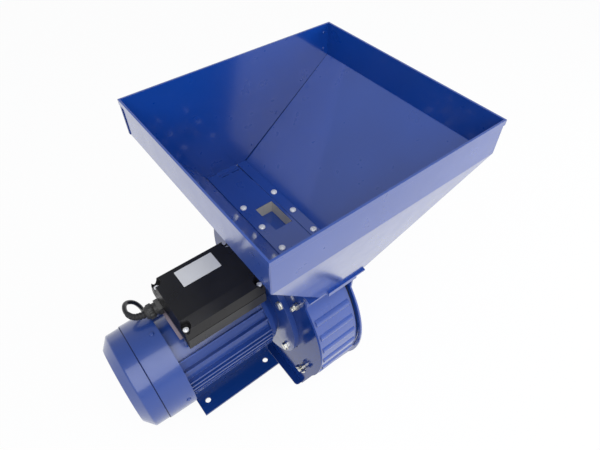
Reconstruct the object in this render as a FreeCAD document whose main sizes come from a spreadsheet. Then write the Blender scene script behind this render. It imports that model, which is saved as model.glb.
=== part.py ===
import FreeCAD, Part
import math
import os
import re
import Sketcher

# Feed grinder: a square hopper over a hammer mill chamber, driven straight from a
# foot mounted motor.  X runs along the motor shaft towards the mill, Y across it,
# Z up.  The origin is the centre of the four foot holes, on the mounting plane.

# Driving sizes in millimetres and degrees: name, value, meaning
SIZES = [
    # Hopper
    ("sheet_wall", 1.5, "hopper sheet thickness"),
    ("rim_start", 21, "X of the rim on the motor side"),
    ("rim_length", 400, "rim along the shaft"),
    ("rim_near", 180, "rim from the shaft to the near side"),
    ("rim_depth", 376, "rim across the shaft"),
    ("rim_top", 456, "height of the rim"),
    ("rim_height", 60, "upright band under the rim"),
    ("hem_height", 9, "folded edge of the rim"),
    ("hem_fold", 1.5, "how far the folded edge stands out"),
    ("floor_top", 240, "height of the hopper floor"),
    ("floor_start", 130, "X of the floor fold on the motor side"),
    ("floor_length", 90, "floor along the shaft"),
    ("floor_near", 140, "floor from the shaft to the near side"),
    ("floor_joint", 197.5, "X of the joint between the two floor sheets"),
    ("joint_gap", 1.8, "width of that joint"),
    ("far_lip", 9, "foot flange of the far panel"),
    ("far_lip_lead", 6, "that flange behind the feed opening's edge"),
    ("seam_lap", 12, "lap of the right panel along the far panel"),
    ("slot_length", 16, "tab slot in the floor"),
    ("slot_width", 2, "width of a tab slot"),
    ("slot_inset", 17, "tab slots from the far panel"),
    ("slot_gap", 6, "between the two tab slots"),
    ("slot_lead", 3, "tab slots behind the feed opening's edge"),
    ("mouth_start", 157.5, "X of the feed opening"),
    ("mouth_length", 35, "feed opening along the shaft"),
    ("mouth_near", 10, "Y of the feed opening"),
    ("mouth_width", 62, "feed opening across the shaft"),
    ("screw_start", 142.5, "X of the left row of floor screws"),
    ("screw_span", 66.5, "distance between the rows"),
    ("screw_middle", 29.5, "Y of the middle screws"),
    ("screw_pitch", 57.5, "screws along a row"),
    ("screw_radius", 2.5, "floor screw shank"),
    ("screw_head", 5.6, "floor screw head radius"),
    ("screw_dome", 3.2, "floor screw head height"),
    ("nut_width", 9, "nut across its corners"),
    ("nut_height", 4, "nut height"),
    ("rivet_radius", 2.6, "seam rivet head radius"),
    ("rivet_dome", 1.2, "seam rivet head height"),
    ("rivet_drop", 15, "first rivet of the band below the rim"),
    ("rivet_pitch", 30, "rivets along the band"),
    # Seat and feed gate
    ("seat_wall", 3, "seat plate thickness"),
    ("seat_start", 112, "X of the seat plate"),
    ("seat_length", 109, "seat plate along the shaft"),
    ("seat_margin", 0, "seat plate beyond the hopper's foot"),
    ("seat_flange", 3.5, "side flange beyond the seat plate"),
    ("seat_flange_inset", 34, "side flange from the seat plate's rear end"),
    ("seat_lip", 8, "depth of the side flange's bent lip"),
    ("seat_lip_short", 18, "lip ends before the flange's front end"),
    ("chute_bottom", 172, "height of the chute's foot"),
    ("saddle_gap", 1, "chute above the sieve ring"),
    ("chute_side", 6, "chute wall beside the gate"),
    ("chute_end", 2.4, "chute wall at its ends"),
    ("gate_wall", 2, "gate plate thickness"),
    ("gate_drop", 29, "gate's underside below the hopper floor"),
    ("gate_margin", 3, "gate plate beyond the opening on each side"),
    ("gate_reach", 9, "gate handle in front of the cover"),
    ("gate_handle", 16, "depth of the gate's bent handle"),
    ("gate_play", 0.35, "sliding clearance of the gate"),
    # Mill chamber
    ("shaft_height", 90, "shaft above the mounting plane"),
    ("chamber_start", 115, "X of the chamber's inner rear face"),
    ("drum_length", 79, "drum along the shaft"),
    ("drum_radius", 170, "drum outside radius"),
    ("drum_wall", 2, "drum sheet thickness"),
    ("neck_flange", 12, "neck's flange under the seat plate"),
    ("neck_half", 126, "half width of the neck under the hopper"),
    ("skirt_top", 10, "height where the skirt leaves the drum"),
    ("mouth_half", 119, "half width of the discharge"),
    ("discharge_drop", 170, "discharge below the shaft"),
    ("rear_wall", 3, "rear plate thickness"),
    ("rear_overhang", 2, "rear plate beyond the drum"),
    ("hub_clear", 6, "rear plate's hole beyond the rotor hub"),
    ("cover_wall", 3, "front cover thickness"),
    ("cover_overhang", 7, "front cover beyond the drum"),
    ("cover_flare", 7, "extra half width of the cover at the seat"),
    ("gasket_wall", 4, "front gasket thickness"),
    ("gasket_width", 9, "front gasket width"),
    ("gasket_inset", 4, "front gasket inside the drum's edge"),
    ("base_flange", 12, "bent foot of the rear plate"),
    ("foot_corner", 6, "rounded corner of that foot"),
    ("rib_radius", 9, "pressed ribs of the drum"),
    ("rib_height", 3, "ribs above the drum"),
    ("rib_margin", 5, "drum beyond the ends of its ribs"),
    ("rib_first", 149, "angle of the first rib"),
    ("rib_step", 10.4, "angle between ribs"),
    ("spare_hole", 6.5, "radius of the free hole in the rear plate"),
    ("spare_out", 101, "free hole towards the near side"),
    ("spare_down", 36, "free hole below the shaft"),
    ("stud_radius", 4, "clamping stud radius"),
    ("stud_circle", 151, "clamping studs from the shaft"),
    ("stud_high", 44, "angle of the upper studs above level"),
    ("stud_low", 32, "angle of the lower studs below level"),
    ("stud_tail", 15, "stud behind the rear plate"),
    ("hex_width", 15, "M8 head across its corners"),
    ("hex_height", 5.5, "M8 head height"),
    ("wing_span", 28, "wing nut tip to tip"),
    ("wing_height", 13, "wing nut height"),
    ("wing_boss", 6, "wing nut boss radius"),
    ("wing_ear", 4.2, "radius of a wing's rounded tip"),
    ("wing_wall", 2.4, "wing thickness"),
    ("wing_collar", 7, "length of the wing nut's boss"),
    ("screen_wall", 1.5, "screen sheet thickness"),
    ("screen_radius", 113.5, "screen outside radius"),
    ("screen_pitch", 14, "screen holes along the shaft"),
    ("screen_hole", 4, "screen hole radius"),
    # Rotor
    ("shaft_radius", 12, "motor shaft radius"),
    ("shaft_inset", 14, "shaft's rear end inside the cowl"),
    ("journal_rise", 0.5, "bearing journals above the shaft"),
    ("journal_lead", 4, "front journal beyond the housing"),
    ("fan_shaft_lead", 20, "rear journal behind the housing"),
    ("fan_shaft_drop", 3, "fan seat below the shaft's radius"),
    ("core_rise", 2, "rotor core's seat above the shaft"),
    ("hub_radius", 22, "rotor hub radius"),
    ("disc_radius", 85, "rotor disc radius"),
    ("disc_wall", 4, "rotor disc thickness"),
    ("rotor_start", 124, "X of the rear disc"),
    ("rotor_length", 50, "rear disc's rear face to front disc's front face"),
    ("pin_circle", 72, "hammer pins from the shaft"),
    ("pin_radius", 5, "hammer pin radius"),
    ("pin_head", 3, "hammer pin head height"),
    ("pin_collar", 2.5, "hammer pin head beyond the pin"),
    ("hammer_wall", 8, "hammer thickness"),
    ("hammer_width", 30, "hammer width"),
    ("hammer_tip", 107, "hammer tips from the shaft"),
    ("hammer_tail", 11, "hammer behind its pin"),
    ("hammer_chamfer", 4, "cut corners of the hammer's heel"),
    ("hammer_notch", 3, "depth of the notches near the hammer's tip"),
    ("notch_start", 12, "far end of a notch from the tip"),
    ("notch_end", 6, "near end of a notch from the tip"),
    ("pin_play", 0.1, "running clearance on the pins"),
    ("sleeve_wall", 3, "sleeve wall round the hammer pin"),
    ("bore_play", 0.05, "running clearance of round bores"),
    ("key_width", 8, "shaft key width"),
    ("key_start", 130, "X of the shaft key"),
    ("key_length", 38, "shaft key length"),
    ("end_bolt_radius", 4, "rotor bolt shank radius"),
    ("end_bolt_length", 22, "rotor bolt thread in the shaft"),
    ("end_bolt_rim", 5, "rotor bolt flange beyond the shaft"),
    ("end_bolt_flange", 3, "rotor bolt flange thickness"),
    ("end_bolt_width", 17, "rotor bolt head across its corners"),
    ("end_bolt_height", 7, "rotor bolt head height"),
    ("cut_margin", 5, "how far a cutting tool reaches past a solid"),
    # Motor
    ("core_radius", 70, "motor housing radius under the fins"),
    ("fin_radius", 79, "motor housing radius over the fins"),
    ("fin_wall", 3, "fin thickness"),
    ("fin_first", 44, "angle of the first fin from the top"),
    ("fin_second", 58.5, "angle of the second fin"),
    ("low_fin_first", 76, "angle of the first of the closely set lower fins"),
    ("housing_start", 84, "housing behind the foot centre"),
    ("housing_length", 164, "housing along the shaft"),
    ("housing_wall", 5, "housing wall under the fins"),
    ("pad_half", 38, "half width of the housing's pad under the box"),
    ("pad_inset", 2.5, "pad inside the ends of box and housing"),
    ("bell_radius", 76, "end bell radius"),
    ("bell_bore", 4, "end bells' bores beyond the shaft"),
    ("bell_inset", 12, "bells' inner shoulders inside their rims"),
    ("bell_depth", 9, "depth of the bells behind the housing"),
    ("bell_chamfer", 4, "chamfered rim of the rear bell"),
    ("bearing_wall", 8, "bell wall round a bearing"),
    ("flange_radius", 112, "motor flange radius"),
    ("flange_wall", 10, "motor flange thickness"),
    ("bolt_circle", 100, "flange bolts from the shaft"),
    ("cowl_radius", 88, "fan cowl radius"),
    ("cowl_wall", 1.6, "fan cowl sheet"),
    ("cowl_start", 168, "cowl's rear face behind the foot centre"),
    ("cowl_length", 86, "cowl along the shaft"),
    ("cowl_step", 1.6, "drop at the cowl's ridge"),
    ("cowl_ridge", 39, "ridge from the cowl's rear face"),
    ("cowl_draw", 0.8, "draw of each half of the cowl's wall"),
    ("cowl_shoulder", 14, "length of the cowl's sloped shoulder"),
    ("cowl_fall", 20, "fall of that shoulder"),
    ("cowl_round", 4, "rounded edges of the cowl"),
    ("vent_half", 2.5, "half width of a vent slot"),
    ("vent_inner", 20, "inner end of the vent slots"),
    ("vent_outer", 54, "outer end of the vent slots"),
    ("lug_half", 8, "half width of a cowl lug"),
    ("lug_length", 16, "cowl lug along the shaft"),
    ("lug_gap", 0.8, "lug inside the cowl"),
    ("lug_root", 14, "cowl lug's root inside the bell's rim"),
    ("cowl_screw_inset", 10, "cowl screws behind the housing"),
    ("cowl_screw_radius", 2, "cowl screw shank"),
    ("cowl_screw_play", 0.2, "cowl's screw holes beyond the shank"),
    ("bearing_radius", 26, "bearing outside radius"),
    ("bearing_width", 15, "bearing width"),
    ("stator_length", 90, "stator stack length"),
    ("gap_radius", 42, "stator bore radius"),
    ("air_gap", 0.4, "gap between rotor and stator"),
    ("winding_reach", 18, "winding heads beyond the stator"),
    ("winding_gap", 3, "windings beyond the stator's bore"),
    ("winding_taper", 2, "narrowing of the winding heads"),
    ("fan_radius", 68, "cooling fan radius"),
    ("fan_inset", 18, "fan inside the cowl's rear face"),
    ("fan_length", 26, "fan along the shaft"),
    ("fan_band", 18, "width of the fan's open outer band"),
    ("fan_disc", 2, "fan disc thickness"),
    ("fan_hub", 6, "fan hub's wall beyond the shaft"),
    ("fan_blade", 22.5, "fan blades along the shaft"),
    ("foot_length", 158, "foot along the shaft"),
    ("foot_half", 91, "foot edge from the shaft"),
    ("foot_wall", 4, "foot thickness"),
    ("foot_hole_x", 125, "foot holes along the shaft"),
    ("foot_hole_y", 140, "foot holes across the shaft"),
    ("foot_hole", 5, "foot hole radius"),
    ("rail_inner", 30, "inner edge of the housing rails"),
    ("rail_outer", 52, "outer edge of the housing rails"),
    ("rail_bottom", 24, "height of the housing rails' underside"),
    ("rail_clear", 6, "feet's seats beyond the rails"),
    ("foot_web", 4, "foot's upright beyond the rails"),
    ("rail_bolt_radius", 3, "radius of the bolts through the rails"),
    ("rail_bolt_length", 13, "bolt above its head"),
    # Capacitor box
    ("box_start", 60, "box behind the foot centre"),
    ("box_length", 148, "box along the shaft"),
    ("box_half", 59, "half width of the box"),
    ("box_seat", 172, "height of the housing's flat under the box"),
    ("box_joint", 200, "height of the joint between base and cover"),
    ("box_top", 227, "height of the cover"),
    ("box_wall", 3, "box wall"),
    ("box_draft", 9, "angle of the cover's sides"),
    ("box_corner", 6, "rounded upright corners of the box"),
    ("lid_slope", 17, "width of the cover's sloped near edge"),
    ("lid_drop", 6, "fall of that slope"),
    ("box_gasket", 1.5, "box gasket thickness"),
    ("recess_radius", 9, "screw recess radius in the cover"),
    ("recess_height", 212, "height of the screw seats"),
    ("box_screw_x", 133, "cover screws along the box"),
    ("box_screw_y", 96, "cover screws across the box"),
    ("capacitor_radius", 18, "capacitor radius"),
    ("can_length", 74, "capacitor along the box"),
    ("can_start", 36, "capacitor behind the box's middle"),
    ("can_tab", 8, "length of a capacitor tab"),
    ("can_tab_half", 3, "half height of a capacitor tab"),
    ("gland_y", 33, "Y of the cable gland"),
    ("gland_rise", 14, "cable gland above the box's seat"),
    ("gland_radius", 12, "gland body radius"),
    ("gland_length", 25, "gland in front of the box"),
    ("gland_wall", 3, "gland's thread inside its body"),
    ("gland_skin", 1.5, "gland's neck inside its nut"),
    ("gland_collar", 7, "length of the gland's collar"),
    ("gland_cap_bore", 13, "depth of the gland nut's bore"),
    # Cord
    ("cord_radius", 3.75, "supply cord radius"),
    ("coil_radius", 52, "outside radius of the coil"),
    ("coil_height", 15, "height of the coil"),
    ("coil_width", 22.5, "width of the coil's ring"),
    ("coil_edge", 3, "chamfered edges of the coil"),
    ("coil_x", 60, "X of the coil"),
    ("coil_y", 173, "Y of the coil"),
    ("plug_width", 26, "plug body diameter"),
    ("plug_length", 30, "plug body length"),
    ("plug_offset", 5, "plug inside the coil's inner edge"),
]
NAMES = {name for name, value, note in SIZES}

# The supply cord's route: it leaves the gland, loops over the cowl, drops behind
# the motor and lies on the surface under the mill until it joins its coil.
CORD_ROUTE = [
    (-79, 33, 186),
    (-101, 33, 186),
    (-112, 56, 183.5),
    (-105, 82, 176),
    (-90, 89, 158),
    (-82, 93, 128),
    (-80, 103, 92),
    (-78, 106, 48),
    (-74, 108, 4),
    (-64, 114, -38),
    (-40, 128, -71),
    (-6, 129, -76.2),
    (24, 125, -76.2),
    (46, 125, -76.2),
]

doc = FreeCAD.newDocument("FeedGrinder")
sheet = doc.addObject("Spreadsheet::Sheet", "Dims")
pieces = []


def fill_sheet():
    """Put every driving size into the sheet under its own name."""
    for row, (name, value, note) in enumerate(SIZES, start=1):
        sheet.set("A%d" % row, note)
        sheet.set("B%d" % row, str(value))
        sheet.setAlias("B%d" % row, name)
    doc.recompute()


def tied(text):
    """Put the sheet's name before each size in a formula."""
    def with_sheet(word):
        found = word.group()
        return "Dims." + found if found in NAMES else found
    return re.sub(r"[a-z][a-z0-9_]*", with_sheet, str(text))


def size(name):
    """A driving size as a number."""
    return float(sheet.get(name))


def place(thing, at):
    """Tie an object's position to three formulas."""
    for side, text in zip("xyz", at):
        thing.setExpression("Placement.Base." + side, tied(text))
    return thing


def keep(thing, label):
    """Name an object as one of the machine's pieces."""
    thing.Label = label
    pieces.append(thing)
    return thing


# Solids from primitives

TURN = {
    "x": FreeCAD.Rotation(FreeCAD.Vector(0, 1, 0), 90),
    "y": FreeCAD.Rotation(FreeCAD.Vector(1, 0, 0), -90),
    "z": FreeCAD.Rotation(),
}


def block(name, low, high):
    """A box between two corners given as formulas."""
    box = doc.addObject("Part::Box", name)
    for side, start, end in zip(("Length", "Width", "Height"), low, high):
        box.setExpression(side, tied("(%s) - (%s)" % (end, start)))
    return place(box, low)


def rod(name, at, way, radius, length):
    """A cylinder that starts at a point and runs along +x, +y or +z."""
    bar = doc.addObject("Part::Cylinder", name)
    bar.Placement = FreeCAD.Placement(FreeCAD.Vector(), TURN[way])
    bar.setExpression("Radius", tied(radius))
    bar.setExpression("Height", tied(length))
    return place(bar, at)


def hexagon(name, at, way, across, length):
    """A six sided bar, measured across its corners."""
    bar = doc.addObject("Part::Prism", name)
    bar.Polygon = 6
    bar.Placement = FreeCAD.Placement(FreeCAD.Vector(), TURN[way])
    bar.setExpression("Circumradius", tied("(%s) / 2" % across))
    bar.setExpression("Height", tied(length))
    return place(bar, at)


def cone(name, at, way, radius, top_radius, length):
    """A cone along an axis."""
    bar = doc.addObject("Part::Cone", name)
    bar.Placement = FreeCAD.Placement(FreeCAD.Vector(), TURN[way])
    bar.setExpression("Radius1", tied(radius))
    bar.setExpression("Radius2", tied(top_radius))
    bar.setExpression("Height", tied(length))
    return place(bar, at)


def taper(name, low, high, top_low, top_high):
    """A block whose top is a different rectangle; corners are formulas."""
    form = doc.addObject("Part::Wedge", name)
    form.Placement = FreeCAD.Placement(FreeCAD.Vector(), FreeCAD.Rotation(FreeCAD.Vector(1, 0, 0), 90))
    for side, text in (
        ("Xmin", low[0]), ("Xmax", high[0]), ("X2min", top_low[0]), ("X2max", top_high[0]),
        ("Ymin", low[2]), ("Ymax", high[2]),
        ("Zmin", "-(%s)" % high[1]), ("Zmax", "-(%s)" % low[1]),
        ("Z2min", "-(%s)" % top_high[1]), ("Z2max", "-(%s)" % top_low[1]),
    ):
        form.setExpression(side, tied(text))
    return form


def cut(name, base, tool):
    """One solid less another."""
    result = doc.addObject("Part::Cut", name)
    result.Base = base
    result.Tool = tool
    result.Refine = True
    return result


def fuse(name, parts):
    """Several solids as one."""
    result = doc.addObject("Part::MultiFuse", name)
    result.Shapes = parts
    result.Refine = True
    return result


def common(name, parts):
    """What several solids share."""
    result = doc.addObject("Part::MultiCommon", name)
    result.Shapes = parts
    result.Refine = True
    return result


def group(name, parts):
    """Separate solids in one node."""
    result = doc.addObject("Part::Compound", name)
    result.Links = parts
    return result


# Bodies from sketches

def new_body(name):
    """An empty body."""
    return doc.addObject("PartDesign::Body", name)


def new_sketch(owner, name, plane, offset="0", turn=0):
    """A sketch on one of its body's own planes, moved along the plane's normal."""
    drawing = owner.newObject("Sketcher::SketchObject", name)
    support = [item for item in owner.Origin.OriginFeatures if item.Role == plane][0]
    drawing.AttachmentSupport = (support, "")
    drawing.MapMode = "FlatFace"
    turned = FreeCAD.Rotation(FreeCAD.Vector(1, 0, 0), turn)
    drawing.AttachmentOffset = FreeCAD.Placement(FreeCAD.Vector(), turned)
    drawing.setExpression("AttachmentOffset.Base.z", tied(offset))
    return drawing


def fix_point(drawing, index, vertex, at):
    """Tie a sketch point's two coordinates to formulas."""
    for kind, text in zip(("DistanceX", "DistanceY"), at):
        number = drawing.addConstraint(Sketcher.Constraint(kind, -1, 1, index, vertex, 1.0))
        drawing.setExpression("Constraints[%d]" % number, tied(text))


def polygon(drawing, corners):
    """A closed outline through corners given as pairs of formulas."""
    count = len(corners)
    first = drawing.GeometryCount
    for step in range(count):
        angle = 2 * math.pi * step / count
        following = 2 * math.pi * (step + 1) / count
        drawing.addGeometry(Part.LineSegment(
            FreeCAD.Vector(math.cos(angle), math.sin(angle), 0),
            FreeCAD.Vector(math.cos(following), math.sin(following), 0)))
    for step in range(count):
        following = first + (step + 1) % count
        drawing.addConstraint(Sketcher.Constraint("Coincident", first + step, 2, following, 1))
    for step, corner in enumerate(corners):
        fix_point(drawing, first + step, 1, corner)


def rectangle(drawing, low, high):
    """An upright rectangle between two corners."""
    polygon(drawing, [low, (high[0], low[1]), high, (low[0], high[1])])


def circle(drawing, centre, radius):
    """A circle about a point."""
    index = drawing.addGeometry(Part.Circle(FreeCAD.Vector(), FreeCAD.Vector(0, 0, 1), 1.0))
    fix_point(drawing, index, 3, centre)
    number = drawing.addConstraint(Sketcher.Constraint("Radius", index, 1.0))
    drawing.setExpression("Constraints[%d]" % number, tied(radius))


def pad(owner, name, drawing, length, reverse=False, centred=False, draft=None):
    """Raise a sketch."""
    feature = owner.newObject("PartDesign::Pad", name)
    feature.Profile = drawing
    feature.setExpression("Length", tied(length))
    feature.Reversed = reverse
    if centred:
        feature.SideType = "Symmetric"
    if draft:
        feature.setExpression("TaperAngle", tied(draft))
    return feature


def pocket(owner, name, drawing, length, reverse=False):
    """Sink a sketch into the body."""
    feature = owner.newObject("PartDesign::Pocket", name)
    feature.Profile = drawing
    feature.setExpression("Length", tied(length))
    feature.Reversed = reverse
    return feature


def polar(owner, name, feature, count, angle, axis="X_Axis"):
    """Repeat a feature about one of the body's own axes."""
    pattern = owner.newObject("PartDesign::PolarPattern", name)
    pattern.Originals = [feature]
    line = [item for item in owner.Origin.OriginFeatures if item.Role == axis][0]
    pattern.Axis = (line, [""])
    pattern.Angle = angle
    pattern.Occurrences = count
    owner.Tip = pattern
    return pattern


def turned(name, outlines, height="shaft_height", angle=360):
    """A body turned about the shaft; outlines hold (X, radius) corners."""
    owner = new_body(name)
    drawing = new_sketch(owner, name + "_profile", "XZ_Plane")
    for outline in outlines:
        polygon(drawing, outline)
    feature = owner.newObject("PartDesign::Revolution", name + "_turn")
    feature.Profile = drawing
    feature.ReferenceAxis = (drawing, ["H_Axis"])
    feature.Angle = angle
    return place(owner, ("0", "0", height))


def edges_where(feature, test):
    """Names of the edges whose middle passes a test."""
    names = []
    for index, edge in enumerate(feature.Shape.Edges, start=1):
        middle = edge.valueAt((edge.FirstParameter + edge.LastParameter) / 2)
        if test(edge, middle):
            names.append("Edge%d" % index)
    return names


def round_edges(owner, name, feature, radius, test):
    """Round the edges that pass a test."""
    doc.recompute()
    fillet = owner.newObject("PartDesign::Fillet", name)
    fillet.Base = (feature, edges_where(feature, test))
    fillet.setExpression("Radius", tied(radius))
    owner.Tip = fillet
    return fillet


# Hopper

RIM = {
    "left": "rim_start",
    "right": "rim_start + rim_length",
    "near": "-rim_near",
    "far": "rim_depth - rim_near",
}
FLOOR = {
    "left": "floor_start",
    "right": "floor_start + floor_length",
    "near": "-floor_near",
    "far": "rim_depth - rim_near",
}
INWARD = {"left": "+", "right": "-", "near": "+", "far": "-"}
RIM_FOOT = "rim_top - rim_height"
FLOOR_UNDER = "floor_top - sheet_wall"


def slope_wall(side):
    """Thickness of a sloped panel measured level."""
    run = "(%s) - (%s)" % (RIM[side], FLOOR[side])
    return "sheet_wall * sqrt(1 + ((%s) / (%s - (%s))) ^ 2)" % (run, RIM_FOOT, FLOOR_UNDER)


def inner(level, side, wall=None):
    """Where a panel's inner face lies at one level."""
    return "%s %s (%s)" % (level[side], INWARD[side], wall or slope_wall(side))


def mitred(level, side, wall=None):
    """One panel's level section, mitred at both corners."""
    if side in ("near", "far"):
        ends = ("left", "right")
        outer_line = [(level[end], level[side]) for end in ends]
        inner_line = [(inner(level, end, wall), inner(level, side, wall)) for end in ends]
    else:
        ends = ("near", "far")
        outer_line = [(level[side], level[end]) for end in ends]
        inner_line = [(inner(level, side, wall), inner(level, end, wall)) for end in ends]
    return outer_line + inner_line[::-1]


def panel(side):
    """One hopper panel: a sloped sheet, the rim band above it and the folded edge."""
    owner = new_body("panel_" + side)
    foot = new_sketch(owner, side + "_foot", "XY_Plane", FLOOR_UNDER)
    polygon(foot, mitred(FLOOR, side))
    head = new_sketch(owner, side + "_head", "XY_Plane", RIM_FOOT)
    polygon(head, mitred(RIM, side))
    slope = owner.newObject("PartDesign::AdditiveLoft", side + "_slope")
    slope.Profile = foot
    slope.Sections = [head]
    slope.Ruled = True
    band = new_sketch(owner, side + "_band_outline", "XY_Plane", RIM_FOOT)
    polygon(band, mitred(RIM, side, "sheet_wall"))
    pad(owner, side + "_band", band, "rim_height")
    hem_level = {
        "left": "rim_start - hem_fold",
        "right": "rim_start + rim_length + hem_fold",
        "near": "-rim_near - hem_fold",
        "far": "rim_depth - rim_near + hem_fold",
    }
    hem = new_sketch(owner, side + "_hem_outline", "XY_Plane", "rim_top")
    polygon(hem, mitred(hem_level, side, "hem_fold + sheet_wall"))
    pad(owner, side + "_hem", hem, "hem_height", reverse=True)
    return owner


def screw_places(columns=(0, 1)):
    """Places of the floor screws."""
    return [
        ("screw_start + %d * screw_span" % column, "screw_middle + %d * screw_pitch" % row)
        for column in columns
        for row in (-1, 0, 1)
    ]


def hopper():
    """Four folded panels; the left one carries most of the floor."""
    left = panel("left")
    floor = new_sketch(left, "left_floor_outline", "XY_Plane", FLOOR_UNDER)
    rectangle(floor,
              (inner(FLOOR, "left"), inner(FLOOR, "near")),
              ("floor_joint - joint_gap / 2", inner(FLOOR, "far")))
    rectangle(floor,
              ("mouth_start", "mouth_near"),
              ("mouth_start + mouth_length", "mouth_near + mouth_width"))
    for place_x, place_y in screw_places((0,)):
        circle(floor, (place_x, place_y), "screw_radius + gate_play")
    for step in (0, 1):
        start = "mouth_start - slot_lead + %d * (slot_length + slot_gap)" % step
        rectangle(floor,
                  (start, "rim_depth - rim_near - slot_inset"),
                  (start + " + slot_length", "rim_depth - rim_near - slot_inset + slot_width"))
    pad(left, "left_floor", floor, "sheet_wall")
    keep(left, "hopper_left_panel")

    right = panel("right")
    flange = new_sketch(right, "right_flange_outline", "XY_Plane", FLOOR_UNDER)
    rectangle(flange,
              ("floor_joint + joint_gap / 2", inner(FLOOR, "near")),
              (inner(FLOOR, "right"), inner(FLOOR, "far")))
    for place_x, place_y in screw_places((1,)):
        circle(flange, (place_x, place_y), "screw_radius + gate_play")
    pad(right, "right_flange", flange, "sheet_wall")
    keep(right, "hopper_right_panel")

    keep(panel("near"), "hopper_near_panel")

    far = panel("far")
    lip = new_sketch(far, "far_lip_outline", "XY_Plane", "floor_top")
    far_face = inner(FLOOR, "far")
    rectangle(lip,
              ("mouth_start - far_lip_lead", far_face + " - far_lip"),
              ("floor_joint - joint_gap", far_face))
    pad(far, "far_lip", lip, "sheet_wall")
    keep(far, "hopper_far_panel")


def floor_screws():
    """Domed screws through the floor and the seat plate, with nuts below."""
    screws = []
    nuts = []
    shank = "sheet_wall + seat_wall + nut_height + 2"
    for number, (place_x, place_y) in enumerate(screw_places()):
        label = "floor_screw_%d" % number
        owner = new_body(label)
        profile = new_sketch(owner, label + "_profile", "XZ_Plane")
        polygon(profile, [
            ("0", "-(%s)" % shank), ("screw_radius", "-(%s)" % shank), ("screw_radius", "0"),
            ("screw_head", "0"), ("screw_head * 0.94", "screw_dome * 0.45"),
            ("screw_head * 0.7", "screw_dome * 0.8"), ("screw_head * 0.36", "screw_dome * 0.97"),
            ("0", "screw_dome"),
        ])
        feature = owner.newObject("PartDesign::Revolution", label + "_turn")
        feature.Profile = profile
        feature.ReferenceAxis = (profile, ["V_Axis"])
        screws.append(place(owner, (place_x, place_y, "floor_top")))
        top = "floor_top - sheet_wall - seat_wall - nut_height"
        body = hexagon(label + "_nut", (place_x, place_y, top), "z", "nut_width", "nut_height")
        hole = rod(label + "_bore", (place_x, place_y, top), "z", "screw_radius", "nut_height")
        nuts.append(cut(label + "_nut_cut", body, hole))
    keep(group("floor_screw_set", screws), "floor_screws")
    keep(group("floor_nut_set", nuts), "floor_nuts")


def seam_rivets():
    """Small rivet heads along the seam between the far and the right panel."""
    rivets = []
    corner = (FLOOR["right"], FLOOR["far"], FLOOR_UNDER)
    top = (RIM["right"], RIM["far"], RIM_FOOT)
    for number in range(3):
        share = "(0.2 + %d * 0.3)" % number
        place_x, _, place_z = [
            "(%s) + ((%s) - (%s)) * %s" % (low, high, low, share) for low, high in zip(corner, top)
        ]
        face = inner(FLOOR, "far")
        rivets.append(rivet(number, place_x + " - 2 * seam_lap", face, place_z))
    for number in (3, 4):
        rivets.append(rivet(number, RIM["right"] + " - seam_lap", inner(RIM, "far"),
                            "rim_top - rivet_drop - %d * rivet_pitch" % (number - 3)))
    keep(group("seam_rivet_set", rivets), "seam_rivets")


def rivet(number, place_x, face, place_z):
    """One low rivet head on the inner face of the far panel."""
    return cone("rivet_%d" % number, (place_x, face + " - rivet_dome", place_z), "y",
                "rivet_radius * 0.6", "rivet_radius", "rivet_dome")


# Seat plate, chute and gate

CHUTE_LOW = ("mouth_start - chute_end", "mouth_near - chute_side")
CHUTE_HIGH = ("mouth_start + mouth_length + chute_end", "mouth_near + mouth_width + chute_side")
SEAT_TOP = "floor_top - sheet_wall"
GATE_UNDER = "floor_top - gate_drop"
GATE_TOP = "floor_top - gate_drop + gate_wall"
SEAT_UNDER = "floor_top - sheet_wall - seat_wall"
SEAT_HALF = "floor_near + seat_margin"
FLANGE_START = "seat_start + seat_flange_inset"


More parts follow.
